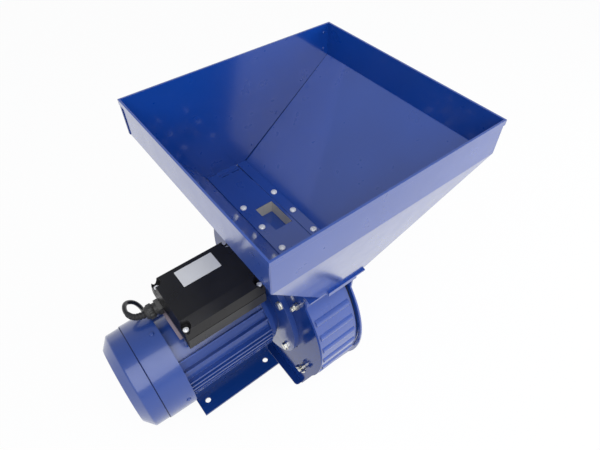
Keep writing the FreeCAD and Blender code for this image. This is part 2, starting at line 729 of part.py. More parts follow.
def seat_and_gate():
    """The plate that carries the hopper, the pale chute under it and its gate."""
    seat = new_body("seat")
    outline = new_sketch(seat, "seat_outline", "XY_Plane", SEAT_UNDER)
    rectangle(outline, ("seat_start", "-(%s)" % SEAT_HALF), ("seat_start + seat_length", SEAT_HALF))
    rectangle(outline,
              (CHUTE_LOW[0] + " - bore_play", CHUTE_LOW[1] + " - bore_play"),
              (CHUTE_HIGH[0] + " + bore_play", CHUTE_HIGH[1] + " + bore_play"))
    for place_x, place_y in screw_places():
        circle(outline, (place_x, place_y), "screw_radius + gate_play")
    pad(seat, "seat_pad", outline, "seat_wall")
    for side, sign in (("near", -1), ("far", 1)):
        edge = "%d * (%s)" % (sign, SEAT_HALF)
        tip = "%d * (%s + seat_flange)" % (sign, SEAT_HALF)
        bend = "%d * (%s + seat_flange - sheet_wall)" % (sign, SEAT_HALF)
        flange = new_sketch(seat, "seat_flange_" + side, "XY_Plane", SEAT_UNDER)
        low, high = (tip, edge) if sign < 0 else (edge, tip)
        rectangle(flange, (FLANGE_START, low), ("seat_start + seat_length", high))
        pad(seat, "seat_flange_pad_" + side, flange, "seat_wall")
        lip = new_sketch(seat, "seat_lip_" + side, "XY_Plane", SEAT_TOP)
        low, high = (tip, bend) if sign < 0 else (bend, tip)
        rectangle(lip, (FLANGE_START, low), ("seat_start + seat_length - seat_lip_short", high))
        pad(seat, "seat_lip_pad_" + side, lip, "seat_lip", reverse=True)
    keep(seat, "seat_plate")

    slot_low = GATE_UNDER + " - gate_play"
    slot_high = GATE_TOP + " + gate_play"
    gate_near = "mouth_near - gate_margin"
    gate_far = "mouth_near + mouth_width + gate_margin"
    outer = block("chute_block", CHUTE_LOW + ("chute_bottom",), CHUTE_HIGH + (SEAT_TOP,))
    saddle = rod("chute_saddle", (CHUTE_LOW[0] + " - 1", "0", "shaft_height"), "x",
                 "screen_radius + saddle_gap", "mouth_length + 2 * chute_end + 2")
    body = cut("chute_saddled", outer, saddle)
    mouth = block("chute_mouth", ("mouth_start", "mouth_near", "chute_bottom - 1"),
                  ("mouth_start + mouth_length", "mouth_near + mouth_width", "floor_top"))
    slot = block("chute_slot", ("mouth_start", gate_near + " - gate_play", slot_low),
                 (CHUTE_HIGH[0] + " + 1", gate_far + " + gate_play", slot_high))
    keep(cut("chute", body, fuse("chute_hollow", [mouth, slot])), "feed_chute")

    front = "chamber_start + drum_length + gasket_wall + cover_wall + gate_reach"
    plate = block("gate_plate", ("mouth_start + gate_play", gate_near, GATE_UNDER),
                  (front, gate_far, GATE_TOP))
    handle = block("gate_handle_plate",
                   (front + " - gate_wall", gate_near, GATE_TOP + " - gate_handle"),
                   (front, gate_far, GATE_TOP))
    keep(fuse("gate", [plate, handle]), "slide_gate")


# Mill chamber

DRUM_END = "chamber_start + drum_length"
COVER_START = "chamber_start + drum_length + gasket_wall"
DISCHARGE = "shaft_height - discharge_drop"


def chamber_form(name, start, end, grow="0", flare="0"):
    """The chamber's outline as a solid: a drum, its neck above and its skirt below."""
    length = "(%s) - (%s)" % (end, start)
    round_part = rod(name + "_round", (start, "0", "shaft_height"), "x",
                     "drum_radius + (%s)" % grow, length)
    half = "neck_half + (%s)" % grow
    neck = taper(name + "_neck",
                 (start, "-(%s)" % half, "shaft_height"), (end, half, SEAT_UNDER),
                 (start, "-(%s) - (%s)" % (half, flare)), (end, "(%s) + (%s)" % (half, flare)))
    knee = "sqrt(drum_radius ^ 2 - (shaft_height - skirt_top) ^ 2) + (%s)" % grow
    foot = "mouth_half + (%s)" % grow
    skirt = taper(name + "_skirt",
                  (start, "-(%s)" % foot, DISCHARGE), (end, foot, "skirt_top"),
                  (start, "-(%s)" % knee), (end, knee))
    outline = fuse(name + "_outline", [round_part, neck, skirt])
    reach = "drum_radius + 6 * cut_margin"
    limit = block(name + "_limit", (start, "-(%s)" % reach, DISCHARGE), (end, reach, SEAT_UNDER))
    return common(name, [outline, limit])


def stud_places():
    """Level and upright distances of the four clamping studs from the shaft."""
    places = []
    for side in ("", "-"):
        for angle, sign in (("stud_high", ""), ("stud_low", "-")):
            level = "%sstud_circle * cos(%s)" % (side, angle)
            upright = "shaft_height + %sstud_circle * sin(%s)" % (sign, angle)
            places.append((level, upright))
    return places


def bolt_places():
    """Places of the motor flange bolts, on the same spokes as the studs."""
    places = []
    for side in ("", "-"):
        for angle, sign in (("stud_high", ""), ("stud_low", "-")):
            level = "%sbolt_circle * cos(%s)" % (side, angle)
            upright = "shaft_height + %sbolt_circle * sin(%s)" % (sign, angle)
            places.append((level, upright))
    return places


def drill(name, base, start, length, holes):
    """Cut round holes along X; holes hold (Y, Z, radius)."""
    tools = [
        rod("%s_hole_%d" % (name, number), (start, level, upright), "x", radius, length)
        for number, (level, upright, radius) in enumerate(holes)
    ]
    return cut(name, base, fuse(name + "_holes", tools))


def chamber_plates():
    """Rear plate with its bent foot, front cover and gasket."""
    rear_start = "chamber_start - rear_wall"
    plate = chamber_form("rear_form", rear_start, "chamber_start", "rear_overhang")
    foot = new_body("rear_foot")
    outline = new_sketch(foot, "rear_foot_outline", "XY_Plane", DISCHARGE)
    edge = rear_start + " - base_flange"
    knee = edge + " + foot_corner"
    polygon(outline, [
        (rear_start, "-mouth_half"), (rear_start, "mouth_half"), (knee, "mouth_half"),
        (edge + " + foot_corner * 0.3", "mouth_half - foot_corner * 0.3"),
        (edge, "mouth_half - foot_corner"), (edge, "-mouth_half + foot_corner"),
        (edge + " + foot_corner * 0.3", "-mouth_half + foot_corner * 0.3"), (knee, "-mouth_half"),
    ])
    pad(foot, "rear_foot_pad", outline, "rear_wall")
    holes = [(level, upright, "stud_radius + gate_play") for level, upright in stud_places()]
    holes += [(level, upright, "stud_radius + gate_play") for level, upright in bolt_places()]
    holes.append(("0", "shaft_height", "hub_radius + hub_clear"))
    holes.append(("-spare_out", "shaft_height - spare_down", "spare_hole"))
    rear = drill("rear", fuse("rear_body", [plate, foot]), rear_start + " - 1", "rear_wall + 2", holes)
    keep(rear, "rear_plate")

    cover = chamber_form("cover_form", COVER_START, COVER_START + " + cover_wall",
                         "cover_overhang", "cover_flare")
    holes = [(level, upright, "stud_radius + gate_play") for level, upright in stud_places()]
    drilled = drill("cover_drilled", cover, COVER_START + " - 1", "cover_wall + 2", holes)
    slot = block("cover_slot",
                 (COVER_START + " - 1", "mouth_near - gate_margin - 2 * gate_play",
                  GATE_UNDER + " - 2 * gate_play"),
                 (COVER_START + " + cover_wall + 1",
                  "mouth_near + mouth_width + gate_margin + 2 * gate_play",
                  GATE_TOP + " + 2 * gate_play"))
    keep(cut("cover", drilled, slot), "front_cover")

    outer = chamber_form("gasket_outer", DRUM_END, COVER_START, "-gasket_inset")
    inside = chamber_form("gasket_inner", DRUM_END + " - 1", COVER_START + " + 1",
                          "-gasket_inset - gasket_width")
    keep(cut("gasket", outer, inside), "front_gasket")


def drum_shells():
    """The drum's two ribbed side sheets, one each side of the inlet and discharge."""
    for side, sign in (("near", "-"), ("far", "")):
        name = "drum_" + side
        outer = chamber_form(name + "_outer", "chamber_start", DRUM_END)
        inside = chamber_form(name + "_inner", "chamber_start - 1", DRUM_END + " + 1", "-drum_wall")
        low = "0" if side == "far" else "-drum_radius - 2 * cut_margin"
        high = "drum_radius + 2 * cut_margin" if side == "far" else "0"
        half = block(name + "_half", ("chamber_start - 2", low, DISCHARGE + " - 1"),
                     (DRUM_END + " + 2", high, "floor_top"))
        ring = cut(name + "_ring", outer, inside)
        edges = ("neck_half - drum_wall", "neck_half + neck_flange")
        low, high = edges if side == "far" else ("-(%s)" % edges[1], "-(%s)" % edges[0])
        flange = block(name + "_flange", ("chamber_start", low, SEAT_UNDER + " - drum_wall"),
                       (DRUM_END, high, SEAT_UNDER))
        sheet_side = common(name + "_side", [fuse(name + "_flanged", [ring, flange]), half])
        ribs = []
        for number in range(6):
            angle = "(rib_first + %d * rib_step)" % number
            reach = "(drum_radius + rib_height - rib_radius)"
            level = "%s(-%s * cos(%s))" % (sign, reach, angle)
            ribs.append(rod("%s_rib_%d" % (name, number),
                            ("chamber_start + rib_margin", level,
                             "shaft_height + %s * sin(%s)" % (reach, angle)),
                            "x", "rib_radius", "drum_length - 2 * rib_margin"))
        bore = chamber_form(name + "_clear", "chamber_start - 1", DRUM_END + " + 1", "-drum_wall")
        ribbed = cut(name + "_ribbed", fuse(name + "_with_ribs", [sheet_side] + ribs), bore)
        keep(ribbed, "drum_shell_" + side)


def screen():
    """The perforated ring round the hammers, open above under the chute."""
    start = "chamber_start"
    end = COVER_START
    inside = "screen_radius - screen_wall"
    owner = turned("screen", [[
        (start, inside), (end, inside), (end, "screen_radius"), (start, "screen_radius"),
    ]])
    inlet = new_sketch(owner, "screen_inlet", "XY_Plane", "0")
    rectangle(inlet,
              ("mouth_start", "mouth_near"),
              ("mouth_start + mouth_length", "mouth_near + mouth_width"))
    pocket(owner, "screen_inlet_cut", inlet, "screen_radius + cut_margin", reverse=True)
    holes = new_sketch(owner, "screen_holes", "XZ_Plane", "0")
    for number in range(-2, 3):
        circle(holes, ("(%s + %s) / 2 + %d * screen_pitch" % (start, end, number), "0"), "screen_hole")
    first = pocket(owner, "screen_hole_row", holes, "screen_radius + cut_margin", reverse=True)
    polar(owner, "screen_hole_rows", first, 13, 216)
    keep(owner, "sieve_ring")


WING_REST = (20, 65, 110, 150)


def wing_nut(number, level, upright):
    """A wing nut on its stud behind the rear plate, each left at its own angle."""
    name = "wing_nut_%d" % number
    end = "chamber_start - rear_wall"
    start = end + " - wing_height"
    base = rod(name + "_base", (end + " - wing_collar", "0", "0"), "x", "wing_boss",
               "wing_collar - gate_play")
    wings = []
    for side in (-1, 1):
        tip = "%d * (wing_span / 2 - wing_ear)" % side
        low, high = (tip, "0") if side < 0 else ("0", tip)
        wings.append(block("%s_web_%d" % (name, side + 1),
                           (start + " + wing_ear * 0.6", low, "-wing_wall / 2"),
                           (end + " - 2", high, "wing_wall / 2")))
        wings.append(rod("%s_ear_%d" % (name, side + 1),
                         (start + " + wing_ear", tip, "-wing_wall / 2"), "z",
                         "wing_ear", "wing_wall"))
    whole = fuse(name + "_body", [base] + wings)
    bore = rod(name + "_bore", (start + " - 1", "0", "0"), "x",
               "stud_radius + bore_play", "wing_height + 2")
    nut = cut(name, whole, bore)
    turn = FreeCAD.Rotation(FreeCAD.Vector(1, 0, 0), WING_REST[number - 1])
    nut.Placement = FreeCAD.Placement(FreeCAD.Vector(), turn)
    keep(place(nut, ("0", level, upright)), name)


def fasteners():
    """Clamping studs with hexagon heads, their wing nuts and the flange bolts."""
    head_start = COVER_START + " + cover_wall"
    tail = "chamber_start - rear_wall - stud_tail"
    studs = []
    for number, (level, upright) in enumerate(stud_places()):
        shank = rod("stud_shank_%d" % number, (tail, level, upright), "x", "stud_radius",
                    "(%s) - (%s)" % (head_start, tail))
        head = hexagon("stud_head_%d" % number, (head_start, level, upright), "x",
                       "hex_width", "hex_height")
        studs.append(fuse("stud_%d" % number, [shank, head]))
        wing_nut(number + 1, level, upright)
    keep(group("stud_set", studs), "clamp_studs")
    bolts = []
    nuts = []
    for number, (level, upright) in enumerate(bolt_places()):
        face = "chamber_start - rear_wall - flange_wall"
        shank = rod("flange_shank_%d" % number, (face, level, upright), "x", "stud_radius",
                    "flange_wall + rear_wall + hex_height")
        nut = hexagon("flange_nut_%d" % number, ("chamber_start", level, upright), "x",
                      "hex_width", "hex_height")
        thread = rod("flange_nut_bore_%d" % number, ("chamber_start - 1", level, upright), "x",
                     "stud_radius + bore_play", "hex_height + 2")
        nuts.append(cut("flange_nut_cut_%d" % number, nut, thread))
        head = hexagon("flange_head_%d" % number, (face + " - hex_height", level, upright), "x",
                       "hex_width", "hex_height")
        bolts.append(fuse("flange_bolt_%d" % number, [shank, head]))
    keep(group("flange_bolt_set", bolts), "flange_bolts")
    keep(group("flange_nut_set", nuts), "flange_nuts")


# Rotor

ROTOR_END = "rotor_start + rotor_length"
SPOKES = ("0", "90", "180", "270")


def spoke(angle, distance):
    """Level and upright place of a point on a rotor spoke."""
    return ("%s * sin(%s)" % (distance, angle), "shaft_height + %s * cos(%s)" % (distance, angle))


def rotor_discs():
    """Hub and the two discs that carry the hammer pins."""
    hub = turned("hub", [[
        ("rotor_start + disc_wall", "shaft_radius + bore_play"),
        ("rotor_start + rotor_length - disc_wall", "shaft_radius + bore_play"),
        ("rotor_start + rotor_length - disc_wall", "hub_radius"), ("rotor_start + disc_wall", "hub_radius"),
    ]])
    groove = new_sketch(hub, "hub_keyway", "XY_Plane", "0")
    rectangle(groove, ("rotor_start", "-key_width / 2 - bore_play"),
              (ROTOR_END, "key_width / 2 + bore_play"))
    pocket(hub, "hub_keyway_cut", groove, "shaft_radius + key_width / 2", reverse=True)
    keep(hub, "rotor_hub")
    for label, start in (("rear", "rotor_start"), ("front", "rotor_start + rotor_length - disc_wall")):
        owner = new_body("disc_" + label)
        outline = new_sketch(owner, "disc_outline_" + label, "YZ_Plane", start)
        circle(outline, ("0", "0"), "disc_radius")
        circle(outline, ("0", "0"), "shaft_radius + bore_play")
        for angle in SPOKES:
            level, upright = spoke(angle, "pin_circle")
            circle(outline, (level, upright + " - shaft_height"), "pin_radius + bore_play")
        pad(owner, "disc_pad_" + label, outline, "disc_wall")
        keep(place(owner, ("0", "0", "shaft_height")), "rotor_disc_" + label)


def hammers():
    """Four pins, each with one swinging hammer and a sleeve on each side of it."""
    inside = "(rotor_length - 2 * disc_wall)"
    gap = "((%s - hammer_wall) / 2)" % inside
    pins = []
    sleeves = []
    for number, angle in enumerate(SPOKES):
        level, upright = spoke(angle, "pin_circle")
        shank = rod("pin_shank_%d" % number, ("rotor_start - pin_head", level, upright), "x",
                    "pin_radius", "rotor_length + 2 * pin_head")
        heads = [
            rod("pin_head_%d_%d" % (number, end), (start, level, upright), "x",
                "pin_radius + pin_collar", "pin_head")
            for end, start in enumerate(("rotor_start - pin_head", ROTOR_END))
        ]
        pins.append(fuse("pin_%d" % number, [shank] + heads))
        start = "rotor_start + disc_wall + %s" % gap
        keep(hammer(str(number), start, level, upright), "hammer_%d" % (number + 1))
        for sleeve in (0, 1):
            start = "rotor_start + disc_wall + (%s + hammer_wall) * %d" % (gap, sleeve)
            name = "sleeve_%d_%d" % (number, sleeve)
            body = rod(name + "_body", (start + " + gate_play", level, upright), "x",
                       "pin_radius + sleeve_wall", gap + " - 2 * gate_play")
            bore = rod(name + "_bore", (start + " - 1", level, upright), "x",
                       "pin_radius + bore_play", gap + " + 2")
            sleeves.append(cut(name, body, bore))
    keep(group("pin_set", pins), "hammer_pins")
    keep(group("sleeve_set", sleeves), "hammer_sleeves")


def hammer(name, start, level, upright):
    """One flat hammer with a rounded heel, hanging down from its pin."""
    owner = new_body("hammer_" + name)
    outline = new_sketch(owner, "hammer_outline_" + name, "YZ_Plane", start)
    half = "hammer_width / 2"
    tip = "hammer_tip - pin_circle"
    notch = "hammer_notch"
    heel = "-hammer_tail + hammer_chamfer"
    low = tip + " - notch_start"
    high = tip + " - notch_end"
    polygon(outline, [
        ("-%s + hammer_chamfer" % half, "-hammer_tail"), ("%s - hammer_chamfer" % half, "-hammer_tail"),
        (half, heel), (half, low),
        ("%s - %s" % (half, notch), low), ("%s - %s" % (half, notch), high),
        (half, high), (half, tip),
        ("-%s" % half, tip), ("-%s" % half, high),
        ("-%s + %s" % (half, notch), high), ("-%s + %s" % (half, notch), low),
        ("-%s" % half, low), ("-%s" % half, heel),
    ])
    circle(outline, ("0", "0"), "pin_radius + pin_play")
    pad(owner, "hammer_pad_" + name, outline, "hammer_wall")
    owner.Placement = FreeCAD.Placement(
        FreeCAD.Vector(), FreeCAD.Rotation(FreeCAD.Vector(1, 0, 0), 180))
    return place(owner, ("0", level, upright))


def shaft_line():
    """Motor shaft with its key, rotor core and end bolt."""
    shoulder = "shaft_radius + core_rise"
    end = ROTOR_END
    journal = "shaft_radius + journal_rise"
    fan_seat = "shaft_radius - fan_shaft_drop"
    rear = "-housing_start - fan_shaft_lead"
    shaft = turned("shaft", [[
        ("-cowl_start + shaft_inset", "0"), (end, "0"), (end, "shaft_radius"),
        ("rotor_start", "shaft_radius"), ("rotor_start", journal),
        ("housing_length - housing_start + journal_lead", journal),
        ("stator_length / 2", journal), ("stator_length / 2", shoulder),
        ("-stator_length / 2", shoulder), ("-stator_length / 2", journal),
        (rear, journal), (rear, fan_seat),
        ("-cowl_start + shaft_inset", fan_seat),
    ]])
    keep(shaft, "motor_shaft")
    core = turned("core", [[
        ("-stator_length / 2", shoulder + " + bore_play"), ("stator_length / 2", shoulder + " + bore_play"),
        ("stator_length / 2", "gap_radius - air_gap"), ("-stator_length / 2", "gap_radius - air_gap"),
    ]])
    keep(core, "rotor_core")
    keyway = new_sketch(shaft, "shaft_keyway", "XY_Plane", "shaft_radius - key_width / 2")
    rectangle(keyway, ("key_start", "-key_width / 2 - bore_play"),
              ("key_start + key_length", "key_width / 2 + bore_play"))
    pocket(shaft, "shaft_keyway_cut", keyway, "key_width", reverse=True)
    bar = block("key_bar",
                ("key_start + bore_play", "-key_width / 2", "shaft_height + shaft_radius - key_width / 2"),
                ("key_start + key_length - bore_play", "key_width / 2",
                 "shaft_height + shaft_radius + key_width / 2 - bore_play"))
    keep(bar, "shaft_key")
    tip = new_sketch(shaft, "shaft_thread_hole", "YZ_Plane", end)
    circle(tip, ("0", "0"), "end_bolt_radius")
    pocket(shaft, "shaft_thread_cut", tip, "end_bolt_length")
    flange = rod("end_bolt_flange", (end, "0", "shaft_height"), "x", "shaft_radius + end_bolt_rim",
                 "end_bolt_flange")
    head = hexagon("end_bolt_head", (end + " + end_bolt_flange", "0", "shaft_height"), "x",
                   "end_bolt_width", "end_bolt_height")
    shank = rod("end_bolt_shank", (end + " - end_bolt_length + 1", "0", "shaft_height"), "x",
                "end_bolt_radius - bore_play", "end_bolt_length - 1")
    keep(fuse("end_bolt", [flange, head, shank]), "rotor_bolt")


# Motor

def swung(offset, radius, angle):
    """A point beside a spoke that leans from the top towards the far side."""
    level = "(%s) * sin(%s) + (%s) * cos(%s)" % (radius, angle, offset, angle)
    upright = "(%s) * cos(%s) - (%s) * sin(%s)" % (radius, angle, offset, angle)
    return (level, upright)


def fin_corners(angle):
    """A fin's outline, rooted in the core and pointing at an angle from the top."""
    return [
        swung(offset, radius, angle)
        for offset, radius in (
            ("-fin_wall / 2", "core_radius - 1"), ("fin_wall / 2", "core_radius - 1"),
            ("fin_wall / 2", "fin_radius"), ("-fin_wall / 2", "fin_radius"),
        )
    ]


def motor_housing():
    """Finned housing with a flat for the box and two rails for the feet."""
    start = "-housing_start"
    owner = new_body("housing")
    ring = new_sketch(owner, "housing_ring", "YZ_Plane", start)
    circle(ring, ("0", "0"), "core_radius")
    pad(owner, "housing_tube", ring, "housing_length")
    for name, side in (("near", -1), ("far", 1)):
        rail = new_sketch(owner, "rail_outline_" + name, "YZ_Plane", start)
        edges = ("%d * rail_inner" % side, "%d * rail_outer" % side)
        low, high = edges if side > 0 else edges[::-1]
        knee = "-sqrt((core_radius - 1) ^ 2 - %s ^ 2)"
        polygon(rail, [
            (low, "rail_bottom - shaft_height"), (high, "rail_bottom - shaft_height"),
            (high, knee % ("(%s)" % high)), (low, knee % ("(%s)" % low)),
        ])
        pad(owner, "rail_" + name, rail, "housing_length")
    upper = new_sketch(owner, "upper_fin_outlines", "YZ_Plane", start)
    for angle in ("fin_first", "fin_second", "(360 - fin_second)", "(360 - fin_first)"):
        polygon(upper, fin_corners(angle))
    pad(owner, "upper_fins", upper, "housing_length")
    lower = new_sketch(owner, "lower_fin_outline", "YZ_Plane", start)
    polygon(lower, fin_corners("low_fin_first"))
    first = pad(owner, "lower_fin", lower, "housing_length")
    pattern = polar(owner, "lower_fins", first, 29, 208)
    pattern.setExpression("Angle", tied("360 - 2 * low_fin_first"))
    pattern.Reversed = True
    flat = new_sketch(owner, "box_flat", "YZ_Plane", "pad_inset - box_start")
    top = "box_seat - shaft_height"
    corner = "sqrt((core_radius - 1) ^ 2 - pad_half ^ 2)"
    polygon(flat, [("-pad_half", corner), ("pad_half", corner), ("pad_half", top), ("-pad_half", top)])
    pad(owner, "box_pad", flat, "housing_length - housing_start + box_start - 2 * pad_inset")
    seats = new_sketch(owner, "foot_seats", "YZ_Plane", start + " - 1")
    seat_top = "rail_bottom - shaft_height"
    for side in (-1, 1):
        edges = ("%d * (rail_inner - 1)" % side, "%d * (rail_outer + rail_clear)" % side)
        low, high = edges if side > 0 else edges[::-1]
        rectangle(seats, (low, "-fin_radius - 2"), (high, seat_top))
    pocket(owner, "foot_seat_cut", seats, "housing_length + 2", reverse=True)
    threads = new_sketch(owner, "rail_threads", "XY_Plane", seat_top)
    for centre in rail_bolt_places(-1) + rail_bolt_places(1):
        circle(threads, centre, "rail_bolt_radius + bore_play")
    pocket(owner, "rail_thread_cut", threads, "rail_bolt_length", reverse=True)
    bore = new_sketch(owner, "housing_bore", "YZ_Plane", start + " - 1")
    circle(bore, ("0", "0"), "core_radius - housing_wall")
    owner.Tip = pocket(owner, "housing_bore_cut", bore, "housing_length + 2", reverse=True)
    keep(place(owner, ("0", "0", "shaft_height")), "motor_housing")


def end_bells():
    """The two end bells with the bearing seats; the front one is the mill flange."""
    front = "housing_length - housing_start"
    face = "chamber_start - rear_wall"
    bell = turned("front_bell", [[
        (front, "shaft_radius + bell_bore"), (face, "shaft_radius + bell_bore"), (face, "flange_radius"),
        (face + " - flange_wall", "flange_radius"), (face + " - flange_wall", "bell_radius - bell_inset"),
        (front + " + bell_depth", "bell_radius - 2"), (front, "bell_radius"),
        (front, "bearing_radius + bearing_wall"), (front + " - bearing_width", "bearing_radius + bearing_wall"),
        (front + " - bearing_width", "bearing_radius + bore_play"),
        (front, "bearing_radius + bore_play"),
    ]])
    holes = new_sketch(bell, "bell_bolt_holes", "YZ_Plane", face)
    for level, upright in bolt_places():
        circle(holes, (level, upright + " - shaft_height"), "stud_radius + gate_play")
    pocket(bell, "bell_bolt_cut", holes, "flange_wall + 1")
    keep(bell, "front_bell")
    rear = "-housing_start"
    back = turned("rear_bell", [[
        (rear, "shaft_radius + bell_bore"), (rear + " - bell_depth", "shaft_radius + bell_bore"),
        (rear + " - bell_depth", "bell_radius - bell_inset"), (rear + " - bell_chamfer", "bell_radius"), (rear, "bell_radius"),
        (rear, "bearing_radius + bearing_wall"), (rear + " + bearing_width", "bearing_radius + bearing_wall"),
        (rear + " + bearing_width", "bearing_radius + bore_play"),
        (rear, "bearing_radius + bore_play"),
    ]])
    lug = new_sketch(back, "lug_outline", "YZ_Plane", rear + " - lug_length")
    rectangle(lug, ("-lug_half", "bell_radius - lug_root"), ("lug_half", "cowl_radius - cowl_wall - lug_gap"))
    first = pad(back, "lug", lug, "lug_length")
    polar(back, "lugs", first, 4, 360)
    tapped = new_sketch(back, "lug_hole", "XY_Plane", "0")
    circle(tapped, ("-housing_start - cowl_screw_inset", "0"), "cowl_screw_radius + bore_play")
    bored = pocket(back, "lug_hole_cut", tapped, "cowl_radius + cut_margin", reverse=True)
    polar(back, "lug_holes", bored, 4, 360)
    keep(back, "rear_bell")
    for label, start in (("front", front + " - bearing_width"), ("rear", rear)):
        ring = turned(label + "_bearing", [[
            (start, "shaft_radius + journal_rise + bore_play"),
            (start + " + bearing_width", "shaft_radius + journal_rise + bore_play"),
            (start + " + bearing_width", "bearing_radius"), (start, "bearing_radius"),
        ]])
        keep(ring, label + "_bearing")


def stator():
    """Stator stack and its two winding heads."""
    outer = "core_radius - housing_wall - bore_play"
    stack = turned("stack", [[
        ("-stator_length / 2", "gap_radius"), ("stator_length / 2", "gap_radius"),
        ("stator_length / 2", outer), ("-stator_length / 2", outer),
    ]])
    keep(stack, "stator_core")
    rings = []
    for name, sign in (("front", ""), ("rear", "-")):
        near_end = sign + "(stator_length / 2)"
        far_end = sign + "(stator_length / 2 + winding_reach)"
        rings.append(turned("winding_" + name, [[
            (near_end, "gap_radius + winding_gap"), (far_end, "gap_radius + winding_gap + winding_taper"),
            (far_end, outer + " - winding_gap - winding_taper"), (near_end, outer + " - winding_gap"),
        ]]))
    keep(group("winding_set", rings), "stator_windings")


def cowl_profile(inset):
    """The cowl's outline in X and radius, front edge first."""
    start = "-cowl_start"
    ridge = start + " + cowl_ridge"
    return [
        (start + " + cowl_length", "cowl_radius - %s" % inset),
        (ridge, "cowl_radius - cowl_draw - %s" % inset),
        (ridge + " - cowl_step", "cowl_radius - cowl_draw - cowl_step - %s" % inset),
        (start + " + cowl_shoulder", "cowl_radius - 2 * cowl_draw - cowl_step - %s" % inset),
        (start + " + %s" % inset, "cowl_radius - cowl_fall - cowl_step - %s" % inset),
    ]


def on_cowl_shoulder(edge, middle):
    """Whether an edge is one of the two outer circles of the cowl's shoulder."""
    if not isinstance(edge.Curve, Part.Circle):
        return False
    from_rear = middle.x + size("cowl_start")
    outer = size("cowl_radius") - size("cowl_step")
    at_knee = abs(from_rear - size("cowl_shoulder")) < 0.01
    if at_knee:
        return edge.Curve.Radius > outer - 2 * size("cowl_draw") - size("cowl_wall") / 2
    return abs(from_rear) < 0.01 and edge.Curve.Radius > size("vent_outer")


def fan_cowl():
    """Pressed cowl with a ridge, a sloped and rounded shoulder and a slotted rear face."""
    outside = cowl_profile("0")
    inside = cowl_profile("cowl_wall")
    outline = outside + [("-cowl_start", "8"), ("-cowl_start + cowl_wall", "8")] + inside[::-1]
    cowl = turned("cowl", [outline])
    round_edges(cowl, "cowl_rounds", cowl.Tip, "cowl_round", on_cowl_shoulder)
    slot = new_sketch(cowl, "cowl_slot", "YZ_Plane", "-cowl_start - 1")
    rectangle(slot, ("-vent_half", "vent_inner"), ("vent_half", "vent_outer"))
    first = pocket(cowl, "cowl_slot_cut", slot, "cowl_wall + 2", reverse=True)
    polar(cowl, "cowl_slots", first, 16, 360)
    hole = new_sketch(cowl, "cowl_screw_hole", "XY_Plane", "0")
    circle(hole, ("-housing_start - cowl_screw_inset", "0"), "cowl_screw_radius + cowl_screw_play")
    drilled = pocket(cowl, "cowl_screw_cut", hole, "cowl_radius + cut_margin", reverse=True)
    polar(cowl, "cowl_screw_holes", drilled, 4, 360)
    keep(cowl, "fan_cowl")


def cowl_screws():
    """Four small screws that hold the cowl to the lugs of the rear bell."""
    screws = []
    for number, angle in enumerate((0, 90, 180, 270)):
        owner = new_body("cowl_screw_%d" % number)
        profile = new_sketch(owner, "cowl_screw_profile_%d" % number, "XZ_Plane")
        polygon(profile, [
            ("0", "-8"), ("2", "-8"), ("2", "0"), ("4", "0"), ("3.2", "1.5"), ("0", "2.1"),
        ])
        feature = owner.newObject("PartDesign::Revolution", "cowl_screw_turn_%d" % number)
        feature.Profile = profile
        feature.ReferenceAxis = (profile, ["V_Axis"])
        owner.Placement = FreeCAD.Placement(
            FreeCAD.Vector(), FreeCAD.Rotation(FreeCAD.Vector(1, 0, 0), -angle))
        reach = "cowl_radius"
        level = "%s * sin(%d)" % (reach, angle)
        upright = "shaft_height + %s * cos(%d)" % (reach, angle)
        screws.append(place(owner, ("-housing_start - cowl_screw_inset", level, upright)))
    keep(group("cowl_screw_set", screws), "cowl_screws")


def cooling_fan():
    """Plastic fan on the rear end of the shaft."""
    start = "-cowl_start + fan_inset"
    bore = "shaft_radius - fan_shaft_drop + bore_play"
    end = start + " + fan_length"
    disc = end + " - fan_disc"
    fan = turned("fan", [[
        (start, bore), (end, bore), (end, "fan_radius - fan_band"), (disc, "fan_radius - fan_band"),
        (disc + " - fan_disc", "shaft_radius + fan_hub"), (start, "shaft_radius + fan_hub"),
    ]])
    blade = new_sketch(fan, "fan_blade_outline", "YZ_Plane", start + " + fan_disc")
    rectangle(blade, ("-1", "shaft_radius + 2"), ("1", "fan_radius"))
    first = pad(fan, "fan_blade", blade, "fan_blade")
    polar(fan, "fan_blades", first, 8, 360)
    keep(fan, "cooling_fan")


def rail_bolt_places(side):
    """Places of the two bolts that hold one foot to its rail."""
    return [
        ("%d * foot_hole_x / 2" % end, "%d * (rail_inner + rail_outer) / 2" % side)
        for end in (-1, 1)
    ]


